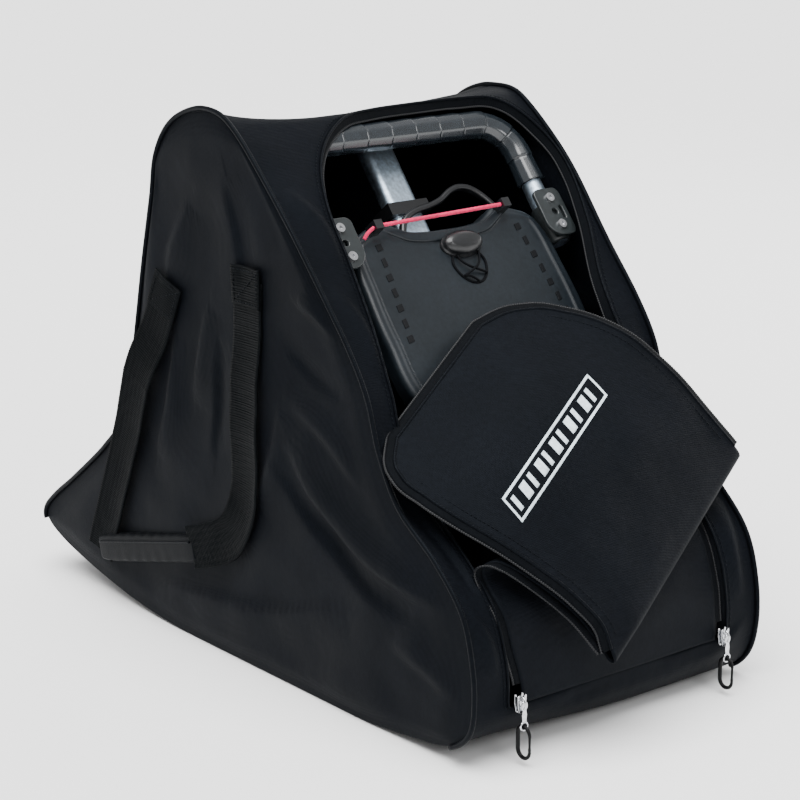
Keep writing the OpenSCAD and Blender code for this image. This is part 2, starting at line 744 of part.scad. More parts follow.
module front_axle() { color("silver") on_axle(FRONT_AXLE, -32) cylinder(h = 64, r = FRONT_AXLE_R); }
module front_fork() {
  blade_t = 5;
  blade_x = 22;
  color("#8b939c") translate([cart_x, 0, 0]) difference() {
    union() {
      for (x = [-blade_x - blade_t, blade_x])
        translate([x, FRONT_AXLE[0] - 10, FRONT_AXLE[1] - 12]) cube([blade_t, 20, 130]);
      translate([-blade_x - blade_t, FRONT_AXLE[0] - 10, 231]) cube([2 * (blade_x + blade_t), 20, 12]);
    }
    translate([-40, FRONT_AXLE[0], FRONT_AXLE[1]]) rotate([0, 90, 0])
      cylinder(h = 80, r = FRONT_AXLE_R + RUNNING);
  }
}

left_side_panel();
right_side_panel();
base_panel();
rear_panel();
top_panel();
front_surround();
left_piping();
right_piping();
body_zip_tape();
body_zip_coil();
flap_base();
flap_base_coil();
flap_middle();
flap_top();
flap_top_tape();
zip_slider_left();
zip_slider_right();
zip_pull_left();
zip_pull_right();
carabiner_left();
carabiner_right();
carabiner_gate_left();
carabiner_gate_right();
left_handle_webbing();
right_handle_webbing();
left_handle_grip();
right_handle_grip();
left_handle_anchors();
right_handle_anchors();
handlebar_tube();
handlebar_grip();
handle_bracket_left();
handle_bracket_right();
bracket_screws();
upper_frame_tube();
lower_frame_tube();
frame_hinge_plates();
frame_hinge_pins();
tube_clamp();
frame_cover();
frame_tray();
grab_handle();
strap_ball();
strap_loop();
bag_strap();
strap_hooks();
rear_axle_beam();
rear_axle();
axle_nuts();
left_wheel_arm();
right_wheel_arm();
left_wheel_tyre();
left_wheel_rim();
right_wheel_tyre();
right_wheel_rim();
front_wheel_tyre();
front_wheel_rim();
front_axle();
front_fork();
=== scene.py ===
"""Looks of a carry bag with a folded golf push cart in it. Metres, +Z up, the opening faces -Y."""
import math

import bmesh
import bpy
import numpy as np
from mathutils import Matrix, Vector, noise


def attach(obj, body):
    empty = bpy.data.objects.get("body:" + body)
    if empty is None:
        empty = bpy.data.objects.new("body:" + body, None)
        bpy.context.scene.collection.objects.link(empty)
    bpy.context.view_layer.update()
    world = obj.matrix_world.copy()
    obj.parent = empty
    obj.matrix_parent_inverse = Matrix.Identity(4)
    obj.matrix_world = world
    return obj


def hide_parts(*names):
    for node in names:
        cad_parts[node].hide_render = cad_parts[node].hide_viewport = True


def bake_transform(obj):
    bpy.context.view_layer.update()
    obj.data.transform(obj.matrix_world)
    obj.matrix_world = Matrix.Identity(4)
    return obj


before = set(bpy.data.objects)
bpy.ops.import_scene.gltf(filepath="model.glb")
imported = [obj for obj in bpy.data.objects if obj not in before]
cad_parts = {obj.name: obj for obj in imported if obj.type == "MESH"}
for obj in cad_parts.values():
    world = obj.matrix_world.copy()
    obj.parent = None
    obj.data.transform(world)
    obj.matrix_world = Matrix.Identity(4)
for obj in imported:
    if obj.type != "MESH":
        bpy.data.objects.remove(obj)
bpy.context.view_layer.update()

MM = 0.001

# ---- camera ----
CAMERA_PLACE = (-1.4322, -1.8110, 0.8645)
CAMERA_AZIMUTH = -39
CAMERA_PITCH = -15
CAMERA_LENS = 101


def new_object(name, data):
    made = bpy.data.objects.new(name, data)
    bpy.context.scene.collection.objects.link(made)
    return made


def make_camera():
    camera = new_object("camera", bpy.data.cameras.new("camera"))
    camera.data.lens = CAMERA_LENS
    camera.location = CAMERA_PLACE
    camera.rotation_euler = (math.radians(90 + CAMERA_PITCH), 0, math.radians(CAMERA_AZIMUTH))
    bpy.context.scene.camera = camera


# ---- curves ----
def unit(v):
    return v / np.maximum(np.linalg.norm(v, axis=-1, keepdims=True), 1e-12)


def hermite(a, b, ta, tb, t):
    return (a * (2 * t**3 - 3 * t**2 + 1) + ta * (t**3 - 2 * t**2 + t)
            + b * (3 * t**2 - 2 * t**3) + tb * (t**3 - t**2))


def spans(points):
    """Distances from each point of a line to the next."""
    return np.linalg.norm(np.diff(points, axis=0), axis=1)


def travel(points):
    """Length of a line up to each of its points."""
    return np.concatenate([[0], np.cumsum(spans(points))])


def heading(points):
    """Direction of a line at each of its points."""
    return unit(np.gradient(points, axis=0))


def even(count):
    """From 0 to 1 in even steps."""
    return np.linspace(0, 1, count)


def full_turn(count):
    """Angles evenly spaced round a full turn."""
    return np.linspace(0, 2 * math.pi, count, endpoint=False)


def resample(points, count):
    """The same line with its points evenly spaced."""
    at = travel(points)
    want = np.linspace(0, at[-1], count)
    return np.stack([np.interp(want, at, points[:, k]) for k in range(points.shape[1])], axis=1)


def spline(points, count):
    """A smooth line through the points, evenly sampled."""
    p = np.asarray(points, float)
    way = heading(p)
    t = np.linspace(0, 1, 16, endpoint=False)[:, None]
    dense = []
    for i in range(len(p) - 1):
        reach = np.linalg.norm(p[i + 1] - p[i])
        dense.append(hermite(p[i], p[i + 1], way[i] * reach, way[i + 1] * reach, t))
    return resample(np.concatenate(dense + [p[-1:]]), count)


def smoothstep(low, high, x):
    t = np.clip((np.asarray(x, float) - low) / (high - low), 0, 1)
    return t * t * (3 - 2 * t)


def bell(x):
    return np.exp(-np.square(x))


def eased(x, table):
    """Smooth value at x of a table of (x, value) pairs."""
    xs, values = np.array(table, float).T
    k = np.clip(np.searchsorted(xs, x) - 1, 0, len(xs) - 2)
    slopes = np.gradient(values, xs)
    width = xs[k + 1] - xs[k]
    t = np.clip((x - xs[k]) / width, 0, 1)
    return hermite(values[k], values[k + 1], slopes[k] * width, slopes[k + 1] * width, t)


def sweep(path, section, up, scale=None):
    """Rings of a section (across, up) carried along a path. up is one vector, or one for each point."""
    forward = heading(path)
    side = unit(np.cross(forward, np.broadcast_to(np.asarray(up, float), path.shape)))
    top = np.cross(side, forward)
    section = np.broadcast_to(section, (len(path), *section.shape))
    if scale is not None:
        section = section * np.asarray(scale)[:, None, None]
    return path[:, None] + section[..., :1] * side[:, None] + section[..., 1:] * top[:, None]


def circle(radius, sides, squash=1.0):
    a = full_turn(sides)
    return np.stack([radius * np.cos(a), radius * squash * np.sin(a)], axis=1)


def rounded_box(w, h, r, per_corner):
    """Section of a bar with rounded corners."""
    points = []
    for k, (x, y) in enumerate([(1, 1), (-1, 1), (-1, -1), (1, -1)]):
        for a in np.linspace(k * 90, k * 90 + 90, per_corner):
            points.append((x * (w / 2 - r) + r * math.cos(math.radians(a)),
                           y * (h / 2 - r) + r * math.sin(math.radians(a))))
    return np.array(points)


def noise_at(points, size, seed):
    """Smooth noise from -1 to 1 at each point, with lumps of about that size."""
    flat = np.asarray(points, float).reshape(-1, np.shape(points)[-1])
    values = [noise.noise(Vector((*p[:3], 0.0)[:3]) / size + Vector((seed, seed * 1.7, -seed))) for p in flat]
    return np.array(values).reshape(np.shape(points)[:-1])


FOLD_SHARPNESS = 0.55


def stroke_height(points, path, width, height):
    """Height of one cloth fold at 2-D points: a ridge along a path in mm, steeper on its left side."""
    width, height = width * MM, height * MM
    line = spline(np.array(path, float) * MM, 32)
    gap = points[..., None, :] - line
    distance = np.linalg.norm(gap, axis=-1)
    near = distance.argmin(axis=-1)
    ahead = np.gradient(line, axis=0)[near]
    offset = np.take_along_axis(gap, near[..., None, None], axis=-2)[..., 0, :]
    left = (ahead[..., 0] * offset[..., 1] - ahead[..., 1] * offset[..., 0]) > 0
    d = distance.min(axis=-1) / np.where(left, width * FOLD_SHARPNESS, width / FOLD_SHARPNESS)
    ends = np.sin(math.pi * (near + 0.5) / len(line)) ** 0.7
    return height * bell(d) * ends


def folds(points, strokes):
    total = np.zeros(points.shape[:-1])
    for stroke in strokes:
        total += stroke_height(points, *stroke)
    return total


# ---- meshes ----
def grid_faces(rows, cols, loop_rows=False, loop_cols=False):
    faces = []
    for i in range(rows if loop_rows else rows - 1):
        for j in range(cols if loop_cols else cols - 1):
            a, b = (i + 1) % rows, (j + 1) % cols
            faces.append((i * cols + j, i * cols + b, a * cols + b, a * cols + j))
    return faces


class Shape:
    """Vertices and faces gathered from several grids into one mesh."""

    def __init__(self):
        self.points, self.faces, self.count = [], [], 0

    def add(self, points, faces):
        points = np.asarray(points, float).reshape(-1, 3)
        self.points.append(points)
        self.faces += [tuple(v + self.count for v in f) for f in faces]
        self.count += len(points)
        return self

    def grid(self, points, **loops):
        return self.add(points, grid_faces(*points.shape[:2], **loops))

    def closed(self, rings):
        """Closed tube through rings of points, with its two ends capped."""
        rows, cols = rings.shape[:2]
        faces = grid_faces(rows, cols, loop_cols=True)
        faces.append(tuple(reversed(range(cols))))
        faces.append(tuple(range((rows - 1) * cols, rows * cols)))
        return self.add(rings, faces)

    def tube(self, path, section, up, scale=None):
        """A section carried along a path, capped."""
        return self.closed(sweep(path, section, up, scale))

    def plate(self, outline, thickness, place):
        """Flat plate of a 2-D outline. place turns (x, y, z) rows into the row frame."""
        n = len(outline)
        flat = np.asarray(outline, float)
        rows = np.concatenate([np.column_stack([flat, np.full(n, level)]) for level in (0, thickness)])
        sides = [(k, (k + 1) % n, n + (k + 1) % n, n + k) for k in range(n)]
        return self.add(place(rows), sides + [tuple(reversed(range(n))), tuple(range(n, 2 * n))])

    def piece(self, name, material, slot, body=None, replaces=(), weld=0.0, thickness=0.0, inward=None):
        """Links the shape as a piece. Pieces with no body get no parent; their transform is baked afterwards.
        A sheet has a thickness.
        """
        mesh = bpy.data.meshes.new(name)
        mesh.from_pydata(np.concatenate(self.points).tolist(), [], self.faces)
        work = bmesh.new()
        work.from_mesh(mesh)
        if weld:
            bmesh.ops.remove_doubles(work, verts=work.verts, dist=weld)
        bmesh.ops.recalc_face_normals(work, faces=work.faces)
        work.to_mesh(mesh)
        work.free()
        mesh.shade_smooth()
        mesh.materials.append(material)
        piece = new_object(name, mesh)
        if body:
            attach(piece, body)
        if replaces:
            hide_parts(*replaces)
        if thickness:
            thicken(piece, thickness, inward)
        return piece


def thicken(piece, thickness, inward=None):
    """Gives a sheet its thickness. inward is a point on the side that the cloth grows to."""
    if inward is not None:
        mesh = piece.data
        facing = sum((p.center - Vector(inward)).dot(p.normal) * p.area for p in mesh.polygons)
        if facing < 0:
            mesh.flip_normals()
    solid = piece.modifiers.new("thickness", "SOLIDIFY")
    solid.thickness = thickness
    solid.offset = -1 if inward is not None else 0


def subdivide(piece):
    surface = piece.modifiers.new("smooth", "SUBSURF")
    surface.levels = surface.render_levels = 1


def bevel(piece, width):
    """Rounds the edges that turn by more than 35 degrees."""
    edges = piece.modifiers.new("rounded", "BEVEL")
    edges.width, edges.segments = width, 2
    edges.limit_method = "ANGLE"
    edges.angle_limit = math.radians(35)
    edges.harden_normals = True


def rounded_corners(points, radius, steps=6):
    """The same outline with each corner turned into an arc-like bend."""
    p = np.asarray(points, float)
    t = even(steps)[:, None]
    corners = []
    for before, here, after in zip(np.roll(p, 1, axis=0), p, np.roll(p, -1, axis=0)):
        reach = min(radius, 0.45 * np.linalg.norm(before - here), 0.45 * np.linalg.norm(after - here))
        a, b = here + unit(before - here) * reach, here + unit(after - here) * reach
        corners.append((1 - t) ** 2 * a + 2 * t * (1 - t) * here + t * t * b)
    return np.concatenate(corners)


def add_spline(data, kind, points):
    line = data.splines.new(kind)
    line.points.add(len(points) - 1)
    for target, p in zip(line.points, points):
        target.co = (*p, 1)
    return line


def punched_plate(shape, rings, thickness, rounding, place):
    """Adds a plate with rounded edges to a shape. The first ring is its outline, the others are holes."""
    data = bpy.data.curves.new("plate", "CURVE")
    data.dimensions, data.fill_mode = "2D", "BOTH"
    data.extrude, data.bevel_depth, data.bevel_resolution = thickness / 2 - rounding, rounding, 2
    data.offset = -rounding
    for ring in rings:
        add_spline(data, "POLY", [(x, y, 0) for x, y in ring]).use_cyclic_u = True
    holder = bpy.data.objects.new("plate", data)
    mesh = bpy.data.meshes.new_from_object(holder)
    shape.add(place(np.array([tuple(v.co) for v in mesh.vertices])),
              [tuple(f.vertices) for f in mesh.polygons])
    bpy.data.objects.remove(holder)


# ---- materials ----
WAVE_LENGTH = 0.314  # distance between the ridges of a wave texture at scale 1


class Paint:
    """A node material around one Principled shader."""

    def __init__(self, name, color, roughness, metallic=0.0, **sockets):
        self.material = bpy.data.materials.new(name)
        self.material.use_nodes = True
        self.tree = self.material.node_tree
        self.shader = self.tree.nodes["Principled BSDF"]
        self.fill(self.shader, Metallic=metallic, **sockets)
        self.coordinates = self.node("TexCoord", "Object")
        self.vary(color, roughness)

    def fill(self, node, **inputs):
        """Gives a node's inputs a value, or a link if the value is another node's output."""
        for socket, value in inputs.items():
            target = node.inputs[socket.replace("_", " ")]
            if isinstance(value, bpy.types.NodeSocket):
                self.tree.links.new(value, target)
            else:
                target.default_value = value

    def node(self, kind, output, settings=(), **inputs):
        """Adds a node and gives back one of its outputs."""
        node = self.tree.nodes.new("ShaderNode" + kind)
        for key, value in settings:
            setattr(node, key, value)
        self.fill(node, **inputs)
        return node.outputs[output]

    def noise(self, size, detail=3.0):
        """Noise with lumps of about that size in metres."""
        return self.node("TexNoise", "Fac", Scale=1 / size, Detail=detail, Vector=self.coordinates)

    def wave(self, pitch, direction):
        """Ridges a pitch apart along X, Y or Z."""
        return self.node("TexWave", "Fac", [("bands_direction", direction)], Scale=WAVE_LENGTH / pitch,
                         Vector=self.coordinates)

    def combine(self, a, b, operation="ADD"):
        node = self.tree.nodes.new("ShaderNodeMath")
        node.operation = operation
        self.tree.links.new(a, node.inputs[0])
        self.tree.links.new(b, node.inputs[1])
        return node.outputs["Value"]

    def vary(self, color, roughness):
        """Uneven colour and roughness: patches the size of a hand, and a finer grain."""
        patches = self.noise(0.09, 4.0)
        grain = self.noise(0.004, 2.0)
        ramp = self.tree.nodes.new("ShaderNodeValToRGB")
        self.fill(ramp, Fac=self.combine(patches, grain, "MULTIPLY"))
        for stop, position, share in zip(ramp.color_ramp.elements, (0.12, 0.42), (0.72, 1.3)):
            stop.position = position
            stop.color = (*[min(1.0, c * share) for c in color], 1)
        spread = self.node("MapRange", "Result", Value=patches, To_Min=roughness * 0.86,
                           To_Max=min(1.0, roughness * 1.14))
        self.fill(self.shader, Base_Color=ramp.outputs["Color"], Roughness=spread)

    def bump(self, height, strength, depth):
        """Adds a relief on top of those that the shader already has."""
        normal = self.shader.inputs["Normal"]
        below = {"Normal": normal.links[0].from_socket} if normal.is_linked else {}
        relief = self.node("Bump", "Normal", Strength=strength, Distance=depth, Height=height, **below)
        self.fill(self.shader, Normal=relief)


def weave(name, color, roughness=0.6, pitch=0.0012, depth=0.0003, sheen=0.006):
    """Woven cloth: crossed threads, a slight pucker and the soft edge light of fabric."""
    paint = Paint(name, color, roughness, Sheen_Weight=sheen, Sheen_Roughness=0.45,
                  Specular_IOR_Level=0.04, Specular_Tint=(0.72, 0.86, 1.0, 1.0))
    threads = paint.combine(paint.combine(paint.wave(pitch, "X"), paint.wave(pitch, "Y")),
                            paint.wave(pitch, "Z"))
    paint.bump(threads, 0.35, depth)
    paint.bump(paint.noise(0.012, 3.0), 0.25, 0.0012)
    return paint.material


def moulded(name, color, roughness=0.4, grain=0.0012, depth=0.00012, **sockets):
    """Moulded plastic or rubber with a fine grain."""
    paint = Paint(name, color, roughness, **sockets)
    paint.bump(paint.noise(grain, 2.0), 0.3, depth)
    return paint.material


def metal(name, color, roughness=0.25, brushed=None):
    """Metal, brushed along one axis if it is named."""
    paint = Paint(name, color, roughness, metallic=1.0)
    if brushed:
        stretch = [1 if axis == brushed else 60 for axis in "XYZ"]
        paint.coordinates = paint.node("Mapping", "Vector", Scale=stretch, Vector=paint.coordinates)
        paint.bump(paint.noise(0.06, 2.0), 0.2, 0.0001)
    else:
        paint.bump(paint.noise(0.0015, 2.0), 0.15, 0.00005)
    return paint.material


NYLON = weave("bag_nylon", (0.0024, 0.0029, 0.0042), 0.56)
FLAP_NYLON = weave("flap_nylon", (0.0028, 0.0033, 0.0046), 0.5)
BINDING = weave("seam_binding", (0.0024, 0.0028, 0.0038), 0.36, pitch=0.0016)
TAPE = weave("zip_tape", (0.0020, 0.0022, 0.0028), 0.6, pitch=0.0010)
WEBBING = weave("handle_webbing", (0.0020, 0.0023, 0.0025), 0.5, pitch=0.0020, depth=0.0006)
GRIP_CLOTH = weave("grip_cloth", (0.0022, 0.0025, 0.0030), 0.45, pitch=0.0014)
THREAD = weave("stitching", (0.0055, 0.0064, 0.0080), 0.45, pitch=0.0006, depth=0.0001)
COIL = moulded("zip_coil", (0.0045, 0.005, 0.0062), 0.4, Specular_IOR_Level=0.2)
CHROME = metal("chrome", (0.60, 0.61, 0.63), 0.18)
SNAP = moulded("snap_hook_black", (0.0025, 0.0025, 0.003), 0.42, Specular_IOR_Level=0.12)
RUBBER = moulded("grip_rubber", (0.010, 0.0135, 0.017), 0.24, grain=0.0008, Coat_Weight=0.5,
                 Coat_Roughness=0.16)
SLATE = moulded("cover_plastic", (0.0066, 0.0095, 0.0125), 0.38, grain=0.0009, Specular_IOR_Level=0.3)
DARK_SLATE = moulded("tray_plastic", (0.007, 0.009, 0.011), 0.42)
MARKS = moulded("cover_marks", (0.0025, 0.003, 0.004), 0.5, Specular_IOR_Level=0.15)
BLACK = moulded("black_plastic", (0.0055, 0.006, 0.007), 0.32)
BRACKET = moulded("bracket_plastic", (0.014, 0.0175, 0.0185), 0.34)
SILVER = metal("frame_silver", (0.52, 0.63, 0.74), 0.42, brushed="Z")
STEEL = metal("pin_steel", (0.55, 0.56, 0.58), 0.3)
ELASTIC = weave("elastic_red", (0.62, 0.012, 0.085), 0.5, pitch=0.0011, sheen=0.3)
BUNGEE = weave("bungee_black", (0.0035, 0.0035, 0.004), 0.5, pitch=0.0010)
TYRE = moulded("tyre_rubber", (0.012, 0.012, 0.013), 0.7, grain=0.002, depth=0.0003)
RIM = moulded("rim_plastic", (0.026, 0.029, 0.033), 0.4)
PRINT = moulded("print_pale", (0.62, 0.72, 0.78), 0.45)


# ---- the cart's slope: across, up the slope and out of it ----
CART_X = 0.022
SLOPE = math.radians(51.4)
SLOPE_ORIGIN = np.array([CART_X, -0.241, 0.295])
SLOPE_UP = np.array([0, math.cos(SLOPE), math.sin(SLOPE)])
SLOPE_OUT = np.array([0, -math.sin(SLOPE), math.cos(SLOPE)])


def on_slope(points):
    """Row-frame points of (across, up, out) in millimetres."""
    p = np.asarray(points, float) * MM
    return SLOPE_ORIGIN + p[..., :1] * np.array([1, 0, 0]) + p[..., 1:2] * SLOPE_UP + p[..., 2:3] * SLOPE_OUT


# ---- the loop of thin bungee cord below the ball ----
LOOP_ROUTE = [
    (-6, 180), (-10, 176), (-13, 171), (-14, 166), (-13, 161), (-11, 156), (-8, 151), (-4, 147),
    (1, 144), (7, 143), (13, 144), (18, 147), (22, 151), (25, 156), (27, 161), (28, 166), (27, 171),
    (24, 176), (20, 180),
]
LOOP_OUT = -24
LOOP_D = 0.003


def bungee_loop():
    points = on_slope([(x, up, LOOP_OUT) for x, up in LOOP_ROUTE])
    data = bpy.data.curves.new("bungee_loop", "CURVE")
    data.dimensions = "3D"
    data.bevel_depth = LOOP_D / 2
    data.bevel_resolution = 3
    data.use_fill_caps = True
    line = add_spline(data, "NURBS", points)
    line.order_u = 4
    line.use_endpoint_u = True
    data.materials.append(BUNGEE)
    loop = new_object("bungee_loop", data)
    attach(loop, "bag")
    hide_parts("strap_loop")


make_camera()
bungee_loop()

# ---- bag: side outline [y, z], from the front foot over the nose and the top to the tail and back ----
CONTROL = MM * np.array([
    [-300, 0], [-345, 5], [-370, 26], [-380, 60], [-378, 104], [-362, 152], [-326, 190], [-272, 230],
    [-242, 276], [-225, 325], [-198, 366], [-158, 412], [-112, 463], [-60, 515], [-18, 552], [12, 567],
    [50, 567], [95, 548], [122, 514], [132, 470], [150, 400], [168, 322], [184, 257], [202, 213],
    [244, 172], [311, 121], [360, 86], [378, 64], [364, 49], [310, 31], [206, 10], [120, 1], [60, 0],
])
COUNT = len(CONTROL)
HEADING = unit(np.roll(CONTROL, -1, axis=0) - np.roll(CONTROL, 1, axis=0))
HEAD, CREST, TAIL, FOOT = 15.6, 18, 27, 33  # s of the seams between the panels
HALF_W = 0.187
STEP = 0.045  # rough length in metres of one step of s
CLOTH, FLAP_CLOTH, TAPE_CLOTH = 0.0025, 0.0022, 0.001
MIDDLE = (0, -0.05, 0.22)  # a point inside the bag


def outline(s):
    """Side view [y, z] at s, counted in control points."""
    s = np.mod(np.asarray(s, float), COUNT)
    i = np.floor(s).astype(int) % COUNT
    j = (i + 1) % COUNT
    a, b = CONTROL[i], CONTROL[j]
    reach = np.linalg.norm(b - a, axis=-1, keepdims=True)
    p = hermite(a, b, HEADING[i] * reach, HEADING[j] * reach, (s - i)[..., None])
    p[..., 1] = np.maximum(p[..., 1], 0)
    return p


def outward(s):
    d = unit(outline(np.asarray(s) + 0.2) - outline(np.asarray(s) - 0.2))
    return np.stack([-d[..., 1], d[..., 0]], axis=-1)


FRONT_S = np.linspace(1.8, 15.4, 600)
FRONT_Z = outline(FRONT_S)[:, 1]


def front_s(z):
    """Where along the outline the front reaches height z."""
    return np.interp(z, FRONT_Z, FRONT_S)


# Sag of the unsupported top between its two side seams, by x
SAG = MM * np.array([[-190, 0], [-140, 20], [-90, 32], [-45, 33], [30, 22], [110, 16], [157, 12], [190, 6]])
# Folds of the front, top and rear panels as [x, z] strokes: path, half width, height
FRONT_FOLDS = [
    ([(-182, 300), (-166, 255), (-158, 205)], 7, 5),
    ([(-184, 240), (-168, 205), (-163, 160)], 6, -5),
    ([(-176, 420), (-160, 385), (-163, 340)], 7, 4),
    ([(-172, 500), (-150, 470), (-152, 430)], 8, 4),
    ([(-182, 160), (-165, 125), (-160, 90)], 8, 4),
    ([(-178, 60), (-120, 48), (-60, 50)], 9, 4),
    ([(-100, 30), (0, 38), (110, 30)], 10, 4),
    ([(172, 330), (158, 280), (160, 220)], 8, 5),
    ([(178, 190), (165, 140), (168, 90)], 8, 5),
    ([(60, 48), (130, 44), (176, 70)], 9, 4),
]
REAR_FOLDS = [
    ([(-120, 520), (-90, 420), (-110, 300)], 16, 7),
    ([(-20, 500), (10, 380), (-10, 250)], 18, 8),
    ([(90, 520), (110, 420), (80, 280)], 16, 7),
    ([(-170, 180), (-60, 215), (60, 200)], 14, -8),
    ([(170, 190), (90, 225), (-20, 230)], 12, 7),
    ([(-140, 150), (-100, 120), (-60, 85)], 12, 5),
    ([(130, 160), (110, 120), (60, 90)], 12, 5),
]


def relief(s, x):
    """Folds and slack of the panels between the side seams."""
    yz = outline(s)
    p = np.stack([x, yz[..., 1]], axis=-1)
    rear = smoothstep(17.5, 19, s) * (1 - smoothstep(27, 27.6, s))
    front = 1 - smoothstep(16, 17.5, s)
    seam = smoothstep(0, 0.03, HALF_W - np.abs(x))
    place = np.stack([x, yz[..., 0], yz[..., 1]], axis=-1)
    slack = noise_at(place, 0.11, 3.0) * 0.005 + noise_at(place, 0.045, 8.0) * 0.0016
    strokes = front * folds(p, FRONT_FOLDS) + rear * folds(p, REAR_FOLDS)
    off_floor = smoothstep(0.004, 0.05, yz[..., 1])
    return (strokes * (0.4 + 0.6 * seam) + slack * (front * 0.6 + rear) * seam) * off_floor


def wrap(s, x, out=0.0):
    """Point on the bag's front, top, rear or base: s along the outline, x across, out of the surface."""
    s, x = np.broadcast_arrays(np.asarray(s, float), np.asarray(x, float))
    yz, away = outline(s), outward(s)
    lift = (out + relief(s, x))[..., None] * away
    top = smoothstep(14.1, 15.6, s) * (1 - smoothstep(18.4, 20.5, s))
    sag = top * eased(x, SAG)
    shoulder = 1 + 0.045 * bell((yz[..., 1] - 0.50) / 0.055) * smoothstep(0.08, 0.18, x)
    y, z = yz[..., 0], yz[..., 1]
    raised = 0.013 * smoothstep(-0.20, -0.36, y) * smoothstep(0.05, -0.18, x) * smoothstep(0.06, 0, z)
    return np.stack([x * shoulder, y + lift[..., 0], z + lift[..., 1] - sag + raised], axis=-1)


# ---- bag: opening ----
# Edge of the opening in front view [x, z], from its left foot over the top to its right foot
OPENING = MM * np.array([
    (-145, 56), (-148, 110), (-153, 180), (-157, 330), (-144, 417), (-131, 486), (-101, 528), (-52, 553),
    (20, 561), (110, 561), (160, 550), (184, 508), (177, 442), (152, 375), (147, 300), (143, 170), (145, 56),
])
EDGE_COUNT = 361
RING_ROWS = 13
TURN = 13.0
EDGE_XZ = spline(OPENING, EDGE_COUNT)
EDGE = np.stack([front_s(EDGE_XZ[:, 1]), EDGE_XZ[:, 0]], axis=1)  # rows of [s, x]


def outer_border():
    """The surround's outer border as [s, x], matched to the edge point by point."""
    border = np.stack([EDGE[:, 0], np.where(EDGE[:, 1] < 0, -HALF_W, HALF_W)], axis=1)
    over = np.nonzero(EDGE[:, 0] > TURN)[0]
    corners = np.array([[s * STEP, x] for s, x in ((TURN, -HALF_W), (HEAD, -HALF_W), (HEAD, HALF_W),
                                                   (TURN, HALF_W))])
    line = resample(corners, len(over))
    for corner in corners[1:3]:
        line[np.linalg.norm(line - corner, axis=1).argmin()] = corner
    border[over] = line / np.array([STEP, 1])
    return border


def nylon_panel(shape, node, weld=0.0):
    subdivide(shape.piece(node + "_cloth", NYLON, "bag_fabric", "bag", [node], weld, CLOTH, MIDDLE))


def surround():
    """Front panel: from the side and top seams to the opening's edge, and the strip below its foot."""
    shape = Shape()
    border = outer_border()
    t = even(RING_ROWS)[:, None, None]
    sx = border[None] * (1 - t) + EDGE[None] * t
    shape.grid(wrap(sx[..., 0], sx[..., 1]))
    foot_s = EDGE[0, 0]
    columns = np.concatenate([sx[:, 0, 1], np.linspace(EDGE[0, 1], EDGE[-1, 1], 60)[1:-1], sx[::-1, -1, 1]])
    rows = np.linspace(0, foot_s, 16)
    shape.grid(wrap(rows[:, None], columns[None]))
    nylon_panel(shape, "front_surround", weld=0.00002)


def wrap_panel(node, first, last, rows, columns):
    """A panel between two seams. Its first edge is tucked under its neighbour."""
    s = np.linspace(first - 0.1, last, rows)
    tuck = -0.0014 * (1 - smoothstep(first - 0.02, first + 0.25, s))[:, None]
    x = np.linspace(-HALF_W, HALF_W, columns)
    nylon_panel(Shape().grid(wrap(s[:, None], x[None], tuck)), node)


# ---- bag: side panels ----
# Folds of the side panels as [y, z] strokes: path, half width, height
SIDE_FOLDS = [
    ([(-110, 262), (-150, 212), (-231, 168), (-350, 150)], 13, 9),
    ([(-92, 235), (-150, 180), (-230, 140), (-300, 128)], 12, -7),
    ([(-98, 290), (-88, 245), (-56, 180)], 11, 6),
    ([(-270, 100), (-320, 84), (-366, 66)], 12, 6),
    ([(-120, 400), (-150, 392), (-185, 372)], 8, 5),
    ([(-100, 350), (-140, 330), (-190, 318)], 8, -4),
    ([(-110, 300), (-160, 280), (-215, 240)], 11, 5),
    ([(30, 370), (46, 320), (64, 262)], 11, 7),
    ([(10, 340), (20, 280), (28, 210)], 10, -6),
    ([(90, 330), (105, 260), (130, 190)], 11, 6),
    ([(60, 470), (90, 420), (100, 380)], 16, 5),
    ([(-10, 500), (-30, 440), (-36, 400)], 14, -5),
    ([(-30, 130), (60, 90), (200, 66)], 14, -6),
    ([(-200, 110), (-60, 70), (120, 46)], 16, 6),
    ([(250, 150), (300, 110), (350, 84)], 9, 4),
]


PUFF = 0.004  # how far the panel's middle stands out of its seam
PIPING_R = 0.0026


def hand(side):
    return "left" if side < 0 else "right"


def side_relief(y, z, side):
    """How far the side panel stands out of its seam plane. The right panel has its own slack."""
    p = np.stack([y, z], axis=-1)
    shift = 0.0 if side < 0 else 5.0
    place = np.stack([y, z, np.full_like(y, shift)], axis=-1)
    slack = noise_at(place, 0.13, 1.0 + shift) * 0.007 + noise_at(place, 0.05, 5.0 + shift) * 0.0022
    strokes = folds(p * ([1, 1] if side < 0 else [1, 0.97]), SIDE_FOLDS)
    return slack + strokes


def edge_line(first, last, side, count):
    dense = np.linspace(first, last, 400)
    s = np.interp(even(count), arc_share(dense), dense)
    return wrap(s, side * HALF_W)


def arc_share(s):
    at = travel(outline(s))
    return at / at[-1]


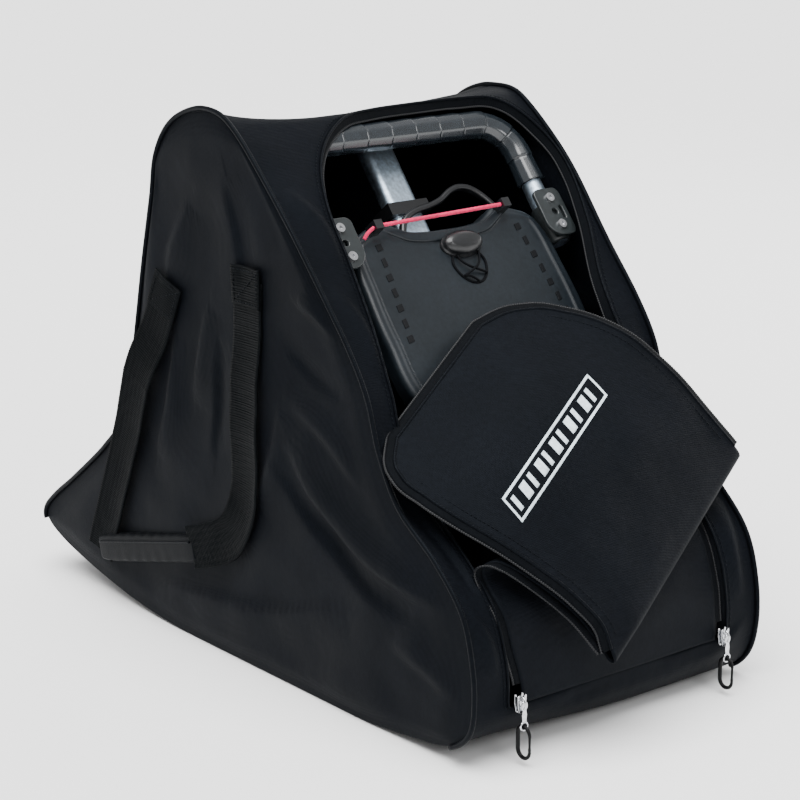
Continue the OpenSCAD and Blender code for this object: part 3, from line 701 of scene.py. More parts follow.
def side_panel(side):
    """A side panel as a patch stretched between its bottom, front, top and rear edges."""
    rows, columns = 130, 150
    nose, head = 1.5, 14
    bottom = edge_line(COUNT + nose, TAIL, side, columns)[None]
    top = edge_line(head, CREST, side, columns)[None]
    front = edge_line(nose, head, side, rows)[:, None]
    rear = edge_line(TAIL, CREST, side, rows)[:, None]
    v = even(rows)[:, None, None]
    u = even(columns)[None, :, None]
    corners = ((1 - u) * (1 - v) * bottom[0, 0] + u * (1 - v) * bottom[0, -1]
               + (1 - u) * v * top[0, 0] + u * v * top[0, -1])
    p = (1 - v) * bottom + v * top + (1 - u) * front + u * rear - corners
    border = np.minimum(np.minimum(u, 1 - u) * 0.30, np.minimum(v, 1 - v) * 0.40)[..., 0]
    inside = smoothstep(0, 0.035, border)
    p[..., 0] += side * side_relief(p[..., 1], p[..., 2], side) * inside
    p[..., 0] += side * PUFF * smoothstep(0, 0.02, border)
    nylon_panel(Shape().grid(p), hand(side) + "_side_panel")


def stand_off(y, z, side):
    """Outer face of the side panel at [y, z], away from its edges."""
    return HALF_W + PUFF + side_relief(np.asarray(y, float), np.asarray(z, float), side)


def piping(side):
    dense = np.linspace(1.1, 27.3, 800)
    s = np.interp(even(420), arc_share(dense), dense)
    path = wrap(s, side * HALF_W, 0.0012) + [side * 0.0012, 0, 0]
    node = hand(side) + "_piping"
    cord = Shape().tube(path, circle(PIPING_R, 10), (side, 0, 0))
    cord.piece(node + "_cord", BINDING, "piping", "bag", [node])


surround()
wrap_panel("top_panel", HEAD, CREST, 30, 90)
wrap_panel("rear_panel", CREST, TAIL, 130, 90)
wrap_panel("base_panel", TAIL, FOOT, 90, 60)
for side in (-1, 1):
    side_panel(side)
    piping(side)


# ---- stitching, zip tape and coil ----
STITCH_PITCH, STITCH_LENGTH = 0.0045, 0.0030
COIL_PITCH, COIL_RADIUS = 0.0024, 0.0014


def spread(up, path, count):
    """Evenly spaced normals. up is one vector, or one for each point of the path."""
    return unit(resample(np.broadcast_to(up, path.shape) + 0 * path, count))


def stitches(shape, path, up, radius=0.00035):
    """Adds a row of short stitches along a path."""
    dense = resample(path, max(3, int(spans(path).sum() / STITCH_PITCH) * 3))
    normals = spread(up, path, len(dense))
    for k in range(0, len(dense) - 3, 3):
        direction = unit(dense[k + 1] - dense[k])
        ends = np.stack([dense[k], dense[k] + direction * STITCH_LENGTH / 2,
                         dense[k] + direction * STITCH_LENGTH])
        ends[1] += normals[k] * radius
        shape.tube(ends, circle(radius, 5), normals[k])
    return shape


def zip_coil(shape, path, up):
    """Adds a nylon zip coil: a flattened bead with a rib for each turn."""
    count = int(spans(path).sum() / COIL_PITCH) * 4
    ribs = 1 + 0.26 * np.sin(np.arange(count) * math.pi / 2)
    return shape.tube(resample(path, count), circle(COIL_RADIUS, 8, 0.7), spread(up, path, count), ribs)


def away_from_middle(line, across):
    """The same directions, or their opposites if they point to the middle of the line."""
    return -across if ((line - line.mean(axis=0)) * across).sum() < 0 else across


TAPE_TURN = math.radians(55)
TAPE_W = 0.010


def body_zip():
    """Tape, coil, binding and stitches round the opening's edge."""
    points = wrap(EDGE[:, 0], EDGE[:, 1])
    normal = np.column_stack([np.zeros(len(EDGE)), outward(EDGE[:, 0])])
    across = -away_from_middle(points, unit(np.cross(normal, heading(points))))
    lean = across * math.cos(TAPE_TURN) - normal * math.sin(TAPE_TURN)
    widths = np.linspace(-0.002, TAPE_W, 6)[:, None, None]
    wave = 0.0008 * noise_at(points, 0.03, 2.0)[:, None] * normal
    tape = Shape().grid(points + widths * lean + wave * (widths / TAPE_W) - 0.0006 * normal)
    tape.piece("body_zip_tape_cloth", TAPE, "zip_tape", "bag", ["body_zip_tape"], thickness=TAPE_CLOTH)
    coil = zip_coil(Shape(), points + lean * TAPE_W + wave, normal)
    coil.piece("body_zip_coil_teeth", COIL, "zip_coil", "bag", ["body_zip_coil"])
    rim = Shape().tube(points + 0.0004 * normal, circle(0.0015, 8), normal)
    rim.piece("opening_binding", BINDING, "piping", "bag")
    flat = EDGE * [STEP, 1]
    along = heading(flat)
    beyond = away_from_middle(flat, np.stack([along[:, 1], -along[:, 0]], axis=1))
    row = (flat + beyond * 0.005) / [STEP, 1]
    seam = stitches(Shape(), wrap(row[:, 0], row[:, 1], 0.0004), normal)
    seam.piece("opening_stitches", THREAD, "piping", "bag")


body_zip()

# ---- flap: upper cloth, in the frame of its crease ----
CREASE = MM * np.array([79, -385, 166])
CREASE_FRAME = np.array(Matrix.Rotation(math.radians(-9), 3, "Y") @ Matrix.Rotation(math.radians(46), 3, "X")
                        @ Matrix.Rotation(math.radians(25), 3, "Z"))
ALONG_CREASE, UP_FLAP, OFF_FLAP = CREASE_FRAME.T


def on_crease(u, v, n):
    """Row-frame points from millimetres along the crease, towards the flap's end and out of it."""
    u, v, n = (np.asarray(q, float)[..., None] * MM for q in np.broadcast_arrays(u, v, n))
    return CREASE + u * ALONG_CREASE + v * UP_FLAP + n * OFF_FLAP


# Side view [v, n] of the cloth round the crease and up the top layer
TURN_VIEW = [(24, 1), (14, 0), (5, 1), (2, 5), (5, 9), (14, 12), (28, 15), (56, 20), (100, 28), (150, 30),
             (200, 25), (250, 16), (287, 8)]
FLAP_LEFT = np.array([(-10, -163), (6, -161), (28, -149), (60, -147), (110, -151), (160, -156), (235, -156),
                      (262, -150), (277, -136), (287, -112)])
FLAP_RIGHT = np.array([(-10, 129), (60, 137), (120, 146), (165, 149), (225, 133), (258, 112), (277, 86),
                       (287, 60)])


def flap_wave(u, v):
    """Slack of the top layer in millimetres."""
    p = np.stack([u, v, np.zeros_like(u)], axis=-1) * MM
    soft = 3.0 * noise_at(p, 0.12, 4.0) + 1.0 * noise_at(p, 0.045, 6.0)
    hump = 5.0 * bell((u + 40) / 110) * bell((v - 120) / 120)
    tip = -7.0 * smoothstep(-110, -165, u) * smoothstep(60, 0, v)
    return (soft + hump) * smoothstep(0, 25, v) + tip


def flap_rows():
    view = spline(TURN_VIEW, 110)
    return view[:, 0], view[:, 1]


def blend_crease(piece):
    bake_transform(piece)


def rim_line():
    """Middle line of the top layer's edge, from the left end of the crease round to the right."""
    v, n = flap_rows()
    top = np.nonzero((n > 11) | (v > 60))[0]
    left = np.stack([eased(v[top], FLAP_LEFT), v[top]], axis=1)
    right = np.stack([eased(v[top], FLAP_RIGHT), v[top]], axis=1)[::-1]
    end = np.linspace(left[-1], right[0], 40)[1:-1]
    flat = resample(np.concatenate([left, end, right]), 300)
    height = np.interp(flat[:, 1], v[top], n[top])
    return on_crease(flat[:, 0], flat[:, 1], height + flap_wave(flat[:, 0], flat[:, 1]))


def flap_upper():
    v, n = flap_rows()
    left, right = eased(v, FLAP_LEFT)[:, None], eased(v, FLAP_RIGHT)[:, None]
    u = left + (right - left) * even(90)
    v = np.broadcast_to(v[:, None], u.shape)
    piece = Shape().grid(on_crease(u, v, n[:, None] + flap_wave(u, v))).piece(
        "flap_upper_cloth", FLAP_NYLON, "flap_fabric", replaces=["flap_top"], thickness=FLAP_CLOTH)
    blend_crease(piece)
    line = rim_line()
    beyond = away_from_middle(line, unit(np.cross(heading(line), OFF_FLAP)))
    droop = beyond * 0.93 - OFF_FLAP * 0.36
    tape = Shape().grid(line + np.linspace(-0.002, 0.009, 5)[:, None, None] * droop)
    blend_crease(tape.piece("flap_zip_tape_cloth", TAPE, "zip_tape", replaces=["flap_top_tape"],
                            thickness=TAPE_CLOTH))
    coil = zip_coil(Shape(), line + droop * 0.0095, OFF_FLAP)
    blend_crease(coil.piece("flap_zip_coil_teeth", COIL, "zip_coil"))
    rim = Shape().tube(line + 0.0004 * OFF_FLAP, circle(0.0018, 8), OFF_FLAP)
    blend_crease(rim.piece("flap_binding", BINDING, "piping"))
    inner = line - beyond * 0.009 + OFF_FLAP * 0.0016
    seam = stitches(Shape(), inner[4:-4], OFF_FLAP)
    blend_crease(seam.piece("flap_stitches", THREAD, "piping"))


# ---- flap: print, a plain slanted band of bars ----
PRINT_U = (-124, 64)
PRINT_V = (148, 176)
SLANT = 9
FILM_LIFT = 1.5


def print_patch(shape, u0, u1, v0, v1, steps=14):
    """Adds a thin film over the flap, slanted like the whole print."""
    shift = SLANT * (np.array([v0, v0, v1, v1]) - PRINT_V[0]) / (PRINT_V[1] - PRINT_V[0])
    a, b, c, d = np.column_stack([np.array([u0, u1, u1, u0]) + shift, [v0, v0, v1, v1]])
    t = even(steps)[:, None, None]
    w = even(5)[None, :, None]
    flat = (1 - t) * ((1 - w) * a + w * d) + t * ((1 - w) * b + w * c)
    u, v = flat[..., 0], flat[..., 1]
    rows_v, rows_n = flap_rows()
    rising = np.arange(len(rows_v)) > len(rows_v) // 8
    height = np.interp(v, rows_v[rising], rows_n[rising]) + flap_wave(u, v)
    shape.grid(on_crease(u, v, height + FILM_LIFT))


def flap_print():
    shape = Shape()
    u0, u1 = PRINT_U
    v0, v1 = PRINT_V
    line = 2.6
    print_patch(shape, u0, u1, v0, v0 + line, 60)
    print_patch(shape, u0, u1, v1 - line, v1, 60)
    print_patch(shape, u0, u0 + line, v0, v1)
    print_patch(shape, u1 - line, u1, v0, v1)
    bars = 11
    pitch = (u1 - u0 - 12) / bars
    for k in range(bars):
        at = u0 + 8 + k * pitch
        print_patch(shape, at, at + pitch * (0.34 + 0.3 * (k % 2)), v0 + 6.5, v1 - 6.5)
    shape.piece("flap_print_bars", PRINT, "flap_fabric", "flap_upper", thickness=0.0003)


# ---- flap: lower cloth, from its foot over the first fold to the crease; three points across each row ----
LOWER_ROWS = [
    [(-128, -381, 57), (0, -381, 57), (128, -381, 57)],
    [(-130, -378, 80), (0, -382, 80), (130, -378, 80)],
    [(-137, -374, 110), (0, -380, 112), (131, -372, 114)],
    [(-143, -368, 142), (0, -368, 150), (130, -356, 158)],
    [(-148, -352, 166), (0, -345, 182), (132, -318, 198)],
    [(-150, -346, 180), (2, -336, 200), (140, -302, 222)],
    [(-150, -352, 189), (6, -340, 209), (152, -300, 234)],
    [(-140, -360, 190), (10, -350, 209), (160, -308, 239)],
    [(-120, -373, 176), (22, -362, 198), (168, -320, 238)],
    [(-84, -398, 140), (42, -376, 180), (173, -327, 236)],
    [(-67, -421, 108), (55, -378, 171), (177, -335, 234)],
]


def blend_foot(piece):
    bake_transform(piece)


def flap_lower():
    columns = np.stack([spline(row, 70) for row in LOWER_ROWS], axis=1) * MM
    surface = np.stack([spline(column, 90) for column in columns], axis=1)
    inside = np.sin(math.pi * even(70))[None] * np.sin(math.pi * even(90)[:, None])
    surface[..., 1] -= (0.004 * noise_at(surface, 0.07, 9.0) + 0.0015 * noise_at(surface, 0.03, 2.0)) * inside
    piece = Shape().grid(surface).piece("flap_lower_cloth", FLAP_NYLON, "bag_fabric",
                                        replaces=["flap_base", "flap_middle"], thickness=FLAP_CLOTH)
    blend_foot(piece)
    tape, coil = Shape(), Shape()
    for column, side in ((0, -1), (-1, 1)):
        line = surface[6:, column]
        inner = surface[6:, column + side * -3]
        beyond = unit(line - inner)
        forward = heading(line)
        widths = np.linspace(-0.001, 0.008, 4)[:, None, None]
        tape.grid(line + widths * beyond)
        zip_coil(coil, line + beyond * 0.0085, unit(np.cross(forward, beyond)) * -side)
    blend_foot(tape.piece("flap_base_tape_cloth", TAPE, "zip_tape", thickness=TAPE_CLOTH))
    blend_foot(coil.piece("flap_base_coil_teeth", COIL, "zip_coil", replaces=["flap_base_coil"]))


flap_lower()
flap_upper()
flap_print()


# ---- carry handles ----
STRAP_W = 0.046
STRAP_T = 0.0022
PATCH_T, PATCH_OUT, PATCH_STITCH_OUT = 0.002, 0.0042, 0.0052
# Middle lines of the straps and ends of the grip, as [y, z]
FRONT_STRAP = MM * np.array([(-42, 408), (-42, 380), (-44, 300), (-43, 220), (-36, 172), (-12, 138),
                             (28, 118), (58, 108)])
REAR_STRAP = MM * np.array([(100, 374), (113, 345), (150, 272), (182, 200), (208, 140), (228, 92), (240, 56)])
GRIP_FROM = MM * np.array([52, 108])
GRIP_TO = MM * np.array([240, 60])
GRIP_X = 0.1955


def webbing_ribs(rows):
    return 0.0004 * np.sin(np.arange(rows) * 2 * math.pi / 3.0)[:, None]


def strap_ribbon(shape, path, side, away):
    """Ribbed webbing along a [y, z] path. away is its gap to the panel at each point."""
    count = int(spans(path).sum() / 0.0009)
    line = spline(path, count)
    gap = np.interp(even(count), even(len(away)), away)
    forward = heading(line)
    across = np.stack([-forward[:, 1], forward[:, 0]], axis=1)
    w = np.linspace(-0.5, 0.5, 15)
    yz = line[:, None] + across[:, None] * (w * STRAP_W)[None, :, None]
    lift = (stand_off(line[:, 0], line[:, 1], side)[:, None] * 0.6
            + stand_off(yz[..., 0], yz[..., 1], side) * 0.4)
    ribs = webbing_ribs(count) * (1 + 0.5 * np.cos(w * 14 * math.pi))
    curl = 0.0025 * (4 * w * w)[None]
    x = lift + gap[:, None] + ribs + curl * np.minimum(gap / 0.006, 1)[:, None]
    shape.grid(np.concatenate([side * x[..., None], yz], axis=-1))


def blend_handle(piece):
    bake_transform(piece)


def handle(side):
    body = hand(side) + "_handle"
    webbing = Shape()
    strap_ribbon(webbing, FRONT_STRAP, side, MM * np.array([1.5, 2, 5, 6, 5, 5, 6, 7]))
    strap_ribbon(webbing, REAR_STRAP, side, MM * np.array([1.5, 4, 9, 6, 5, 6, 7]))
    piece = webbing.piece(hand(side) + "_webbing_straps", WEBBING, "webbing", replaces=[body + "_webbing"],
                          thickness=STRAP_T)
    blend_handle(piece)
    patches, seams = Shape(), Shape()
    for path in (FRONT_STRAP, REAR_STRAP):
        forward = unit(path[1] - path[0])
        across = np.array([-forward[1], forward[0]])
        t = np.linspace(-0.014, 0.026, 46)[:, None, None]
        w = np.linspace(-0.5, 0.5, 15)[None, :, None] * STRAP_W
        yz = path[0] + t * forward + w * across
        lift = stand_off(yz[..., 0], yz[..., 1], side) + PATCH_OUT + webbing_ribs(46)
        patches.grid(np.concatenate([side * lift[..., None], yz], axis=-1))
        a, b, c, d = (-0.010, -0.4), (0.022, -0.4), (0.022, 0.4), (-0.010, 0.4)
        for ends in ((a, b), (b, c), (c, d), (d, a), (a, c), (c, d)):
            ends = resample(np.array(ends), 12)
            line = path[0] + ends[:, :1] * forward + ends[:, 1:] * STRAP_W * across
            x = side * (stand_off(line[:, 0], line[:, 1], side) + PATCH_STITCH_OUT)
            stitches(seams, np.column_stack([x, line]), (side, 0, 0), radius=0.0005)
    patches.piece(hand(side) + "_anchor_patches", WEBBING, "webbing", "bag", [body + "_anchors"],
                  thickness=PATCH_T)
    seams.piece(hand(side) + "_anchor_stitches", THREAD, "webbing", "bag")
    grip(side, body)


def grip(side, body):
    """Wrapped sleeve round both straps: crowned, pinched at its ends, with a lapped edge."""
    count = 90
    t = even(count)
    yz = GRIP_FROM + (GRIP_TO - GRIP_FROM) * t[:, None]
    forward = heading(yz)
    down = np.stack([forward[:, 1], -forward[:, 0]], axis=1)
    section = rounded_box(0.013, 0.032, 0.0055, 6)
    a = np.arange(len(section)) / len(section)
    pinch = 1 - 0.16 * (np.exp(-t * 22) + np.exp(-(1 - t) * 22))
    wrinkle = (1 + 0.03 * np.sin(t * 60)[:, None] * np.sin(a * 2 * math.pi * 2)[None]
               * np.sin(math.pi * t)[:, None])
    x = side * (GRIP_X + section[None, :, 0] * pinch[:, None] * wrinkle)
    rise = section[None, :, 1] * pinch[:, None] * wrinkle
    ring = np.concatenate([x[..., None], yz[:, None] - down[:, None] * rise[..., None]], axis=-1)
    piece = Shape().closed(ring).piece(hand(side) + "_grip_sleeve", GRIP_CLOTH, "handle_wrap", body,
                                       [body + "_grip"])
    subdivide(piece)
    line = np.column_stack([np.full(count, side * 0.2024), yz - down * 0.007])
    lap = Shape().tube(line[2:-2], rounded_box(0.0022, 0.0016, 0.0007, 3), (side, 0, 0))
    lap.piece(hand(side) + "_grip_lap", BINDING, "handle_wrap", body)


for side in (-1, 1):
    handle(side)


# ---- zip sliders, pulls and snap hooks ----
TRACK_X = 0.1355
PULL_Y = -0.3912


def upright(x, y):
    """Stands a plate's outline up at x (metres), its thickness growing from y (millimetres)."""
    return lambda p: MM * np.column_stack([x / MM + p[:, 0], y + p[:, 2], p[:, 1]])


def wire_eye(shape, x, z, half_w, half_h, radius):
    """Adds a closed oval of wire in the plane of the pull."""
    a = full_turn(28)
    p = np.column_stack([x + half_w * np.cos(a), np.full(28, PULL_Y), z + half_h * np.sin(a)])
    forward = unit(np.roll(p, -1, axis=0) - np.roll(p, 1, axis=0))
    side = unit(np.cross(forward, [0.0, 1.0, 0.0]))
    top = np.cross(side, forward)
    section = circle(radius, 12)
    rings = p[:, None] + section[None, :, :1] * side[:, None] + section[None, :, 1:] * top[:, None]
    shape.grid(rings, loop_rows=True, loop_cols=True)


def slider(x, word):
    """Slider: a waisted body with two wings, and the bridge that holds the pull."""
    outline_xz = [(-5.5, 68), (-5.2, 60), (-3.6, 52), (-2, 50.6), (2, 50.6), (3.6, 52), (5.2, 60), (5.5, 68),
                  (3.6, 69), (1.2, 64.5), (-1.2, 64.5), (-3.6, 69)]
    shape = Shape()
    for y in (-388.4, -384.0):
        shape.plate(outline_xz, 2.0, upright(x, y))
    t = np.linspace(0, math.pi, 16)
    bridge = np.column_stack([np.full(16, x), -0.3880 - 0.0052 * np.sin(t), 0.0605 + 0.0062 * np.cos(t)])
    shape.tube(bridge, circle(0.0011, 12), (1, 0, 0))
    piece = shape.piece("zip_slider_body_" + word, CHROME, "zip_chrome", "slider_" + word,
                        ["zip_slider_" + word])
    bevel(piece, 0.0004)


def pull(x, word):
    """Pull tab: a loop at the slider, a waisted tab and an eye for the hook."""
    shape = Shape()
    wire_eye(shape, x, 0.0590, 0.0030, 0.0042, 0.0009)
    tab = [(-2.0, 55.2), (-3.0, 50), (-2.4, 45), (-2.9, 43.4), (2.9, 43.4), (2.4, 45), (3.0, 50), (2.0, 55.2)]
    shape.plate(tab, 1.5, upright(x, PULL_Y / MM - 0.75))
    wire_eye(shape, x, 0.0392, 0.0040, 0.0040, 0.0010)
    piece = shape.piece("zip_pull_tab_" + word, CHROME, "zip_chrome", "pull_" + word, ["zip_pull_" + word])
    bevel(piece, 0.0003)


HOOK_TOP_Z, HOOK_LOW_Z, HOOK_R = 0.0305, 0.0155, 0.008
HOOK_WIRE_R, GATE_WIRE_R = 0.0015, 0.0012


def hook_path(first, last):
    """Points round a bend of the snap hook, by angle in its own plane."""
    count = 22
    a = np.radians(np.linspace(first, last, count))
    low = np.sin(a) < 0
    z = np.where(low, HOOK_LOW_Z, HOOK_TOP_Z) + HOOK_R * np.sin(a)
    return np.column_stack([np.zeros(count), PULL_Y + HOOK_R * np.cos(a), z])


def snap_hook(x, word):
    place = np.array([x, 0, 0])
    path = np.concatenate([hook_path(180, 1), hook_path(-1, -180)]) + place
    swell = 1 + 0.4 * np.sin(np.linspace(0, math.pi, len(path)))
    hook = Shape().tube(path, circle(HOOK_WIRE_R, 12), (1, 0, 0), swell)
    hook.piece("snap_hook_" + word, SNAP, "hook_black", "hook_" + word, ["carabiner_" + word])
    z = np.linspace(HOOK_LOW_Z + 0.0004, HOOK_TOP_Z - 0.0004, 14)
    line = place + np.column_stack([np.zeros(14), np.full(14, PULL_Y - HOOK_R), z])
    width = 1 + 0.25 * bell((z - HOOK_LOW_Z - 0.002) / 0.002)
    gate = Shape().tube(line, circle(GATE_WIRE_R, 12), (1, 0, 0), width)
    gate.piece("snap_hook_gate_bar_" + word, SNAP, "hook_black", "gate_" + word, ["carabiner_gate_" + word])


for side in (-1, 1):
    for make in (slider, pull, snap_hook):
        make(side * TRACK_X, hand(side))


# ---- cart: handlebar grip ----
BAR_HALF, BAR_UP, BAR_OUT, BEND = 146, 328, -36, 42
GRIP_LEG_UP = 250
SEGMENT = 32


def handlebar_grip():
    """Fluted rubber sleeve in segments, from the left leg round to the right leg."""
    bend = np.radians(np.linspace(180, 90, 24))
    left = [(-BAR_HALF, up) for up in np.linspace(GRIP_LEG_UP, BAR_UP - BEND, 12)[:-1]]
    left += [(-BAR_HALF + BEND + BEND * math.cos(a), BAR_UP - BEND + BEND * math.sin(a)) for a in bend]
    middle = [(x, up, BAR_OUT) for x, up in left + [(-x, up) for x, up in reversed(left)]]
    path = on_slope(resample(np.array(middle), 640))
    inside = (travel(path) / MM % SEGMENT) / SEGMENT
    radius = 14.2 + 1.2 * inside - 1.3 * bell((inside - 1) / 0.03) - 0.4 * bell(inside / 0.03)
    a = full_turn(40)
    grooves = 1 - 0.045 * bell(np.sin(a * 5) / 0.25)
    section = np.stack([np.cos(a) * grooves, np.sin(a) * grooves], axis=1) * MM
    Shape().tube(path, section, SLOPE_OUT, radius).piece(
        "handlebar_grip_sleeve", RUBBER, "grip_rubber", "bag", ["handlebar_grip"])


# ---- cart: brackets on the handlebar's legs ----
BRACKET_MIDDLE = np.array([139, 204])
BRACKET_OUTLINE = [(-18, -17), (-18, 24), (-12, 28), (13, 28), (17, 22), (18, -22), (14, -28), (-6, -28)]


def bracket(side):
    """Moulded plate with two screw seats, a hole and a slot, on a clamp round the leg."""
    def ring(points):
        flat = (np.asarray(points, float) + BRACKET_MIDDLE) * [side, 1]
        return flat if side > 0 else flat[::-1]

    def round_hole(x, up, radius):
        return ring([(x + radius * math.cos(t), up + radius * math.sin(t)) for t in full_turn(20)])

    shape = Shape()
    slot = rounded_corners([(7.5, -9), (11.5, -9), (11.5, 6), (7.5, 6)], 2)
    punched_plate(shape, [ring(rounded_corners(BRACKET_OUTLINE, 9)), ring(slot), round_hole(0, 0, 3.6)],
                  4.4, 1.0, lambda p: on_slope(p + [0, 0, -16]))
    web = rounded_corners([(-3, -25), (14, -25), (14, 11), (-3, 11)], 3)
    punched_plate(shape, [ring(web)], 20, 1.5, lambda p: on_slope(p + [0, 0, -28]))
    up = np.array([176, 176.6, 178.5, 181, 215, 217.5, 219.4, 220])
    radius = np.array([11.6, 13, 14, 14.2, 14.2, 14, 13, 11.6])
    leg = np.column_stack([np.full(8, side * BAR_HALF), up, np.full(8, BAR_OUT)])
    shape.tube(on_slope(leg), circle(MM, 32), SLOPE_OUT, radius)
    node = "handle_bracket_" + hand(side)
    shape.piece(node + "_plate", BRACKET, "bracket_plastic", "bag", [node])


def grab_handle():
    """Slim bow above the notch, with its feet behind the cover's top edge."""
    route = [(-36, 206), (-32, 224), (-22, 238), (-4, 246), (14, 249), (32, 254), (50, 263), (64, 266),
             (78, 262), (92, 248), (100, 232), (102, 212)]
    line = np.column_stack([spline(route, 120), np.full(120, -53.5)])
    Shape().tube(on_slope(line), rounded_box(0.0068, 0.0085, 0.0028, 5), SLOPE_OUT).piece(
        "grab_handle_bow", BLACK, "black_plastic", "bag", ["grab_handle"])


bracket(-1)
bracket(1)
grab_handle()


# ---- cart: frame cover, its notch lip, marks and ball ----
COVER_SIDE = [(6, 104), (24, 120), (96, 132), (150, 131), (190, 127), (208, 119)]
COVER_TOP = [(0, 210), (30, 211), (48, 214), (60, 220), (71, 227), (84, 226), (100, 221), (110, 216),
             (119, 207)]
COVER_LOW_UP, COVER_CORNER_UP = 6, 208
COVER_OUT, COVER_DEEP = -26, 20


def spaced(count):
    """From 0 to 1 with points crowded towards both ends."""
    t = np.linspace(-1, 1, count)
    return 0.5 + 0.5 * np.sign(t) * (1 - (1 - np.abs(t)) ** 1.6)


def crown(x, up):
    return 3.5 * (1 - np.square(x / 134)) * np.sin(math.pi * np.clip((np.asarray(up) - 6) / 222, 0, 1))


def cover_grid():
    """The cover's face as (x, up, out), with a rounded rim and a shallow notch in its top edge."""
    a = 2 * spaced(110)[None] - 1
    t = spaced(80)[:, None]
    half = eased(COVER_LOW_UP + (COVER_CORNER_UP - COVER_LOW_UP) * t, COVER_SIDE)
    x = a * half
    top = eased(np.abs(a * 119), COVER_TOP)
    up = COVER_LOW_UP + (top - COVER_LOW_UP) * t
    inset = np.minimum(half - np.abs(x), np.minimum(up - COVER_LOW_UP, top - up))
    round_r = 6.0
    fall = np.clip(round_r - inset, 0, round_r)
    edge = round_r - np.sqrt(np.maximum(round_r**2 - fall**2, 0))
    panel = -1.6 * smoothstep(13, 16, inset) + 0.8 * smoothstep(9, 11, inset)
    return x, up, COVER_OUT - 0.5 - edge + crown(x, up) + panel


def cover_face(x, up):
    """Height of the cover's face near its middle."""
    return COVER_OUT - 1.3 + crown(x, up)


def frame_cover():
    x, up, out = cover_grid()
    top = np.stack([x, up, out], axis=-1)
    loop = np.concatenate([top[0, :-1], top[:-1, -1], top[-1, :0:-1], top[:0:-1, 0]])
    skirt = [loop * [1, 1, 0] + [0, 0, COVER_OUT - deep] for deep in (6.5, 10, COVER_DEEP - 2, COVER_DEEP)]
    shape = Shape().grid(on_slope(top)).grid(on_slope(np.stack([loop, *skirt])), loop_cols=True)
    shape.piece("frame_cover_shell", SLATE, "cover_plastic", "bag", ["frame_cover"], weld=0.00001,
                thickness=0.0015, inward=tuple(on_slope([0, 110, -60])))
    half = [(80, 221), (66, 213), (50, 205), (28, 202), (0, 201)]
    line = spline([(-x, up) for x, up in half] + half[-2::-1], 90)
    line = np.column_stack([line, cover_face(line[:, 0], line[:, 1]) + 0.5])
    ends = np.sqrt(np.sin(math.pi * np.linspace(0.004, 0.996, 90))) ** 0.3
    lip = Shape().tube(on_slope(line), rounded_box(0.012, 0.0056, 0.0025, 5), SLOPE_OUT, ends)
    lip.piece("cover_notch_lip", SLATE, "cover_plastic", "bag")
    marks = Shape()
    for side in (-1, 1):
        for k in range(7):
            width, height = (5.5, 11) if k % 2 else (7.5, 9)
            middle = np.array([side * (92 + 2 * k), 199 - 17 * k])
            corners = [(-width, -height), (width, -height + 3), (width, height), (-width, height - 3)]
            marks.plate(np.array(corners) / 2 + middle, 1.2, lambda p: on_slope(np.column_stack(
                [p[:, :2], cover_face(p[:, 0], p[:, 1]) - 0.3 + p[:, 2]])))
    bevel(marks.piece("cover_marks", MARKS, "cover_plastic", "bag"), 0.0004)


BALL_X, BALL_UP = 7, 188
KNOB = [(15.4, 0), (15.2, 2.5), (14.0, 4.5), (13.6, 5.5), (12.8, 8.5), (10, 11.5), (6, 13.6), (0.05, 14.4)]


def strap_ball():
    """Oval knob with a moulded cap line."""
    rings = [[(BALL_X + (r + 11 * min(1, r / 8)) * math.cos(t), BALL_UP + r * math.sin(t), COVER_OUT + h)
              for t in full_turn(56)] for r, h in spline(KNOB, 44)]
    Shape().grid(on_slope(np.array(rings)), loop_cols=True).piece(
        "strap_ball_knob", BLACK, "black_plastic", "bag", ["strap_ball"], weld=0.0001)
    extra = Shape()
    for route in (
        [(-6, 176, -22), (-4, 168, -21), (2, 161, -20), (11, 156, -20), (22, 152, -22)],
        [(22, 176, -21), (18, 167, -20), (11, 160, -18), (1, 155, -19), (-8, 152, -22)],
        [(-8, 152, -22), (-3, 151, -21), (3, 147, -21), (7, 144, -22)],
    ):
        extra.tube(on_slope(spline(route, 40)), circle(0.0013, 8), SLOPE_OUT)
    extra.piece("bungee_crossing", BUNGEE, "bungee_black", "bag")


def elastic():
    """Stretched elastic over the cover's notch, with its knotted ends round the hooks."""
    ends = np.array([(-94, 217, -14), (76, 221, -14)], float)
    line = ends[0] + (ends[1] - ends[0]) * even(120)[:, None]
    ribs = 1 + 0.05 * np.sin(np.arange(120) * 1.6)
    shape = Shape().tube(on_slope(line), circle(0.0021, 12), SLOPE_OUT, ribs)
    tail = [(-94, 217, -14), (-100, 215, -14), (-106, 212, -17), (-110, 208, -21)]
    shape.tube(on_slope(spline(tail, 24)), circle(0.0019, 10), SLOPE_OUT)
    shape.piece("bag_strap_elastic", ELASTIC, "elastic_red", "bag", ["bag_strap"])


handlebar_grip()
frame_cover()
strap_ball()
elastic()

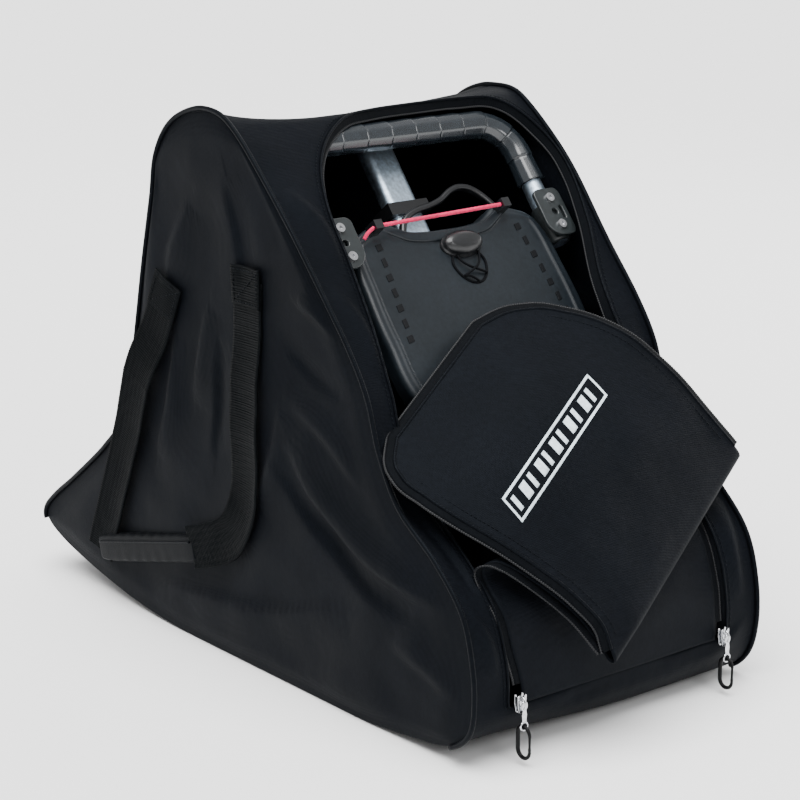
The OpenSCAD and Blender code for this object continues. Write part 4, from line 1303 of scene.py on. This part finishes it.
# ---- materials of the CAD pieces that stay ----
FINISHES = (
    (DARK_SLATE, "frame_tray"),
    (BLACK, "strap_hooks tube_clamp frame_hinge_plates axle_nuts"),
    (SILVER, "handlebar_tube upper_frame_tube lower_frame_tube rear_axle_beam left_wheel_arm"
             " right_wheel_arm front_fork"),
    (STEEL, "bracket_screws frame_hinge_pins rear_axle front_axle"),
    (TYRE, "left_wheel_tyre right_wheel_tyre front_wheel_tyre"),
    (RIM, "left_wheel_rim right_wheel_rim front_wheel_rim"),
)
for material, nodes in FINISHES:
    for node in nodes.split():
        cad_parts[node].data.materials.clear()
        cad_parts[node].data.materials.append(material)
for node in ("strap_hooks", "tube_clamp", "frame_tray", "upper_frame_tube", "frame_hinge_plates",
             "front_fork"):
    bevel(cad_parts[node], 0.0012)


# ---- floor and lights ----
WORLD_STRENGTH, SUN_STRENGTH, SUN_SPREAD = 0.72, 7.0, 55
FLOOR_HALF, FLOOR_Z, FLOOR_GREY = 30, -0.0005, 0.9
AREA_LIGHTS = (  # name, place, point it faces, size, watts
    ("key", (-2.2, 0.9, 2.4), (0, -0.05, 0.3), 1.4, 9),
    ("front", (-0.3, -2.6, 1.7), (0, -0.2, 0.35), 0.9, 22),
    ("back", (2.2, 1.6, 2.2), (0, 0.1, 0.25), 1.4, 16),
    ("right", (3.0, -0.5, 0.9), (0.1, 0, 0.2), 1.2, 26),
)


def make_floor():
    mesh = bpy.data.meshes.new("floor")
    corners = ((-1, -1), (1, -1), (1, 1), (-1, 1))
    mesh.from_pydata([(x * FLOOR_HALF, y * FLOOR_HALF, FLOOR_Z) for x, y in corners], [], [(0, 1, 2, 3)])
    floor = new_object("floor", mesh)
    paint = Paint("pale_floor", (FLOOR_GREY,) * 3, FLOOR_GREY)
    color = paint.shader.inputs["Base Color"]
    paint.tree.links.remove(color.links[0])
    color.default_value = (*[FLOOR_GREY] * 3, 1)
    mesh.materials.append(paint.material)


def make_light(name, kind, toward, energy, place=(0, 0, 0)):
    data = bpy.data.lights.new(name, kind)
    data.energy = energy
    light = new_object(name, data)
    light.location = place
    light.rotation_euler = Vector(toward).to_track_quat("-Z", "Y").to_euler()
    return data


def make_lights():
    world = bpy.data.worlds.new("studio")
    world.use_nodes = True
    background = world.node_tree.nodes["Background"].inputs
    background["Color"].default_value = (1, 1, 1, 1)
    background["Strength"].default_value = WORLD_STRENGTH
    bpy.context.scene.world = world
    make_light("sky", "SUN", (0.22, 0.12, -1.0), SUN_STRENGTH).angle = math.radians(SUN_SPREAD)
    for name, place, aim, size, watts in AREA_LIGHTS:
        make_light(name, "AREA", Vector(aim) - Vector(place), watts, place).size = size


make_floor()
make_lights()
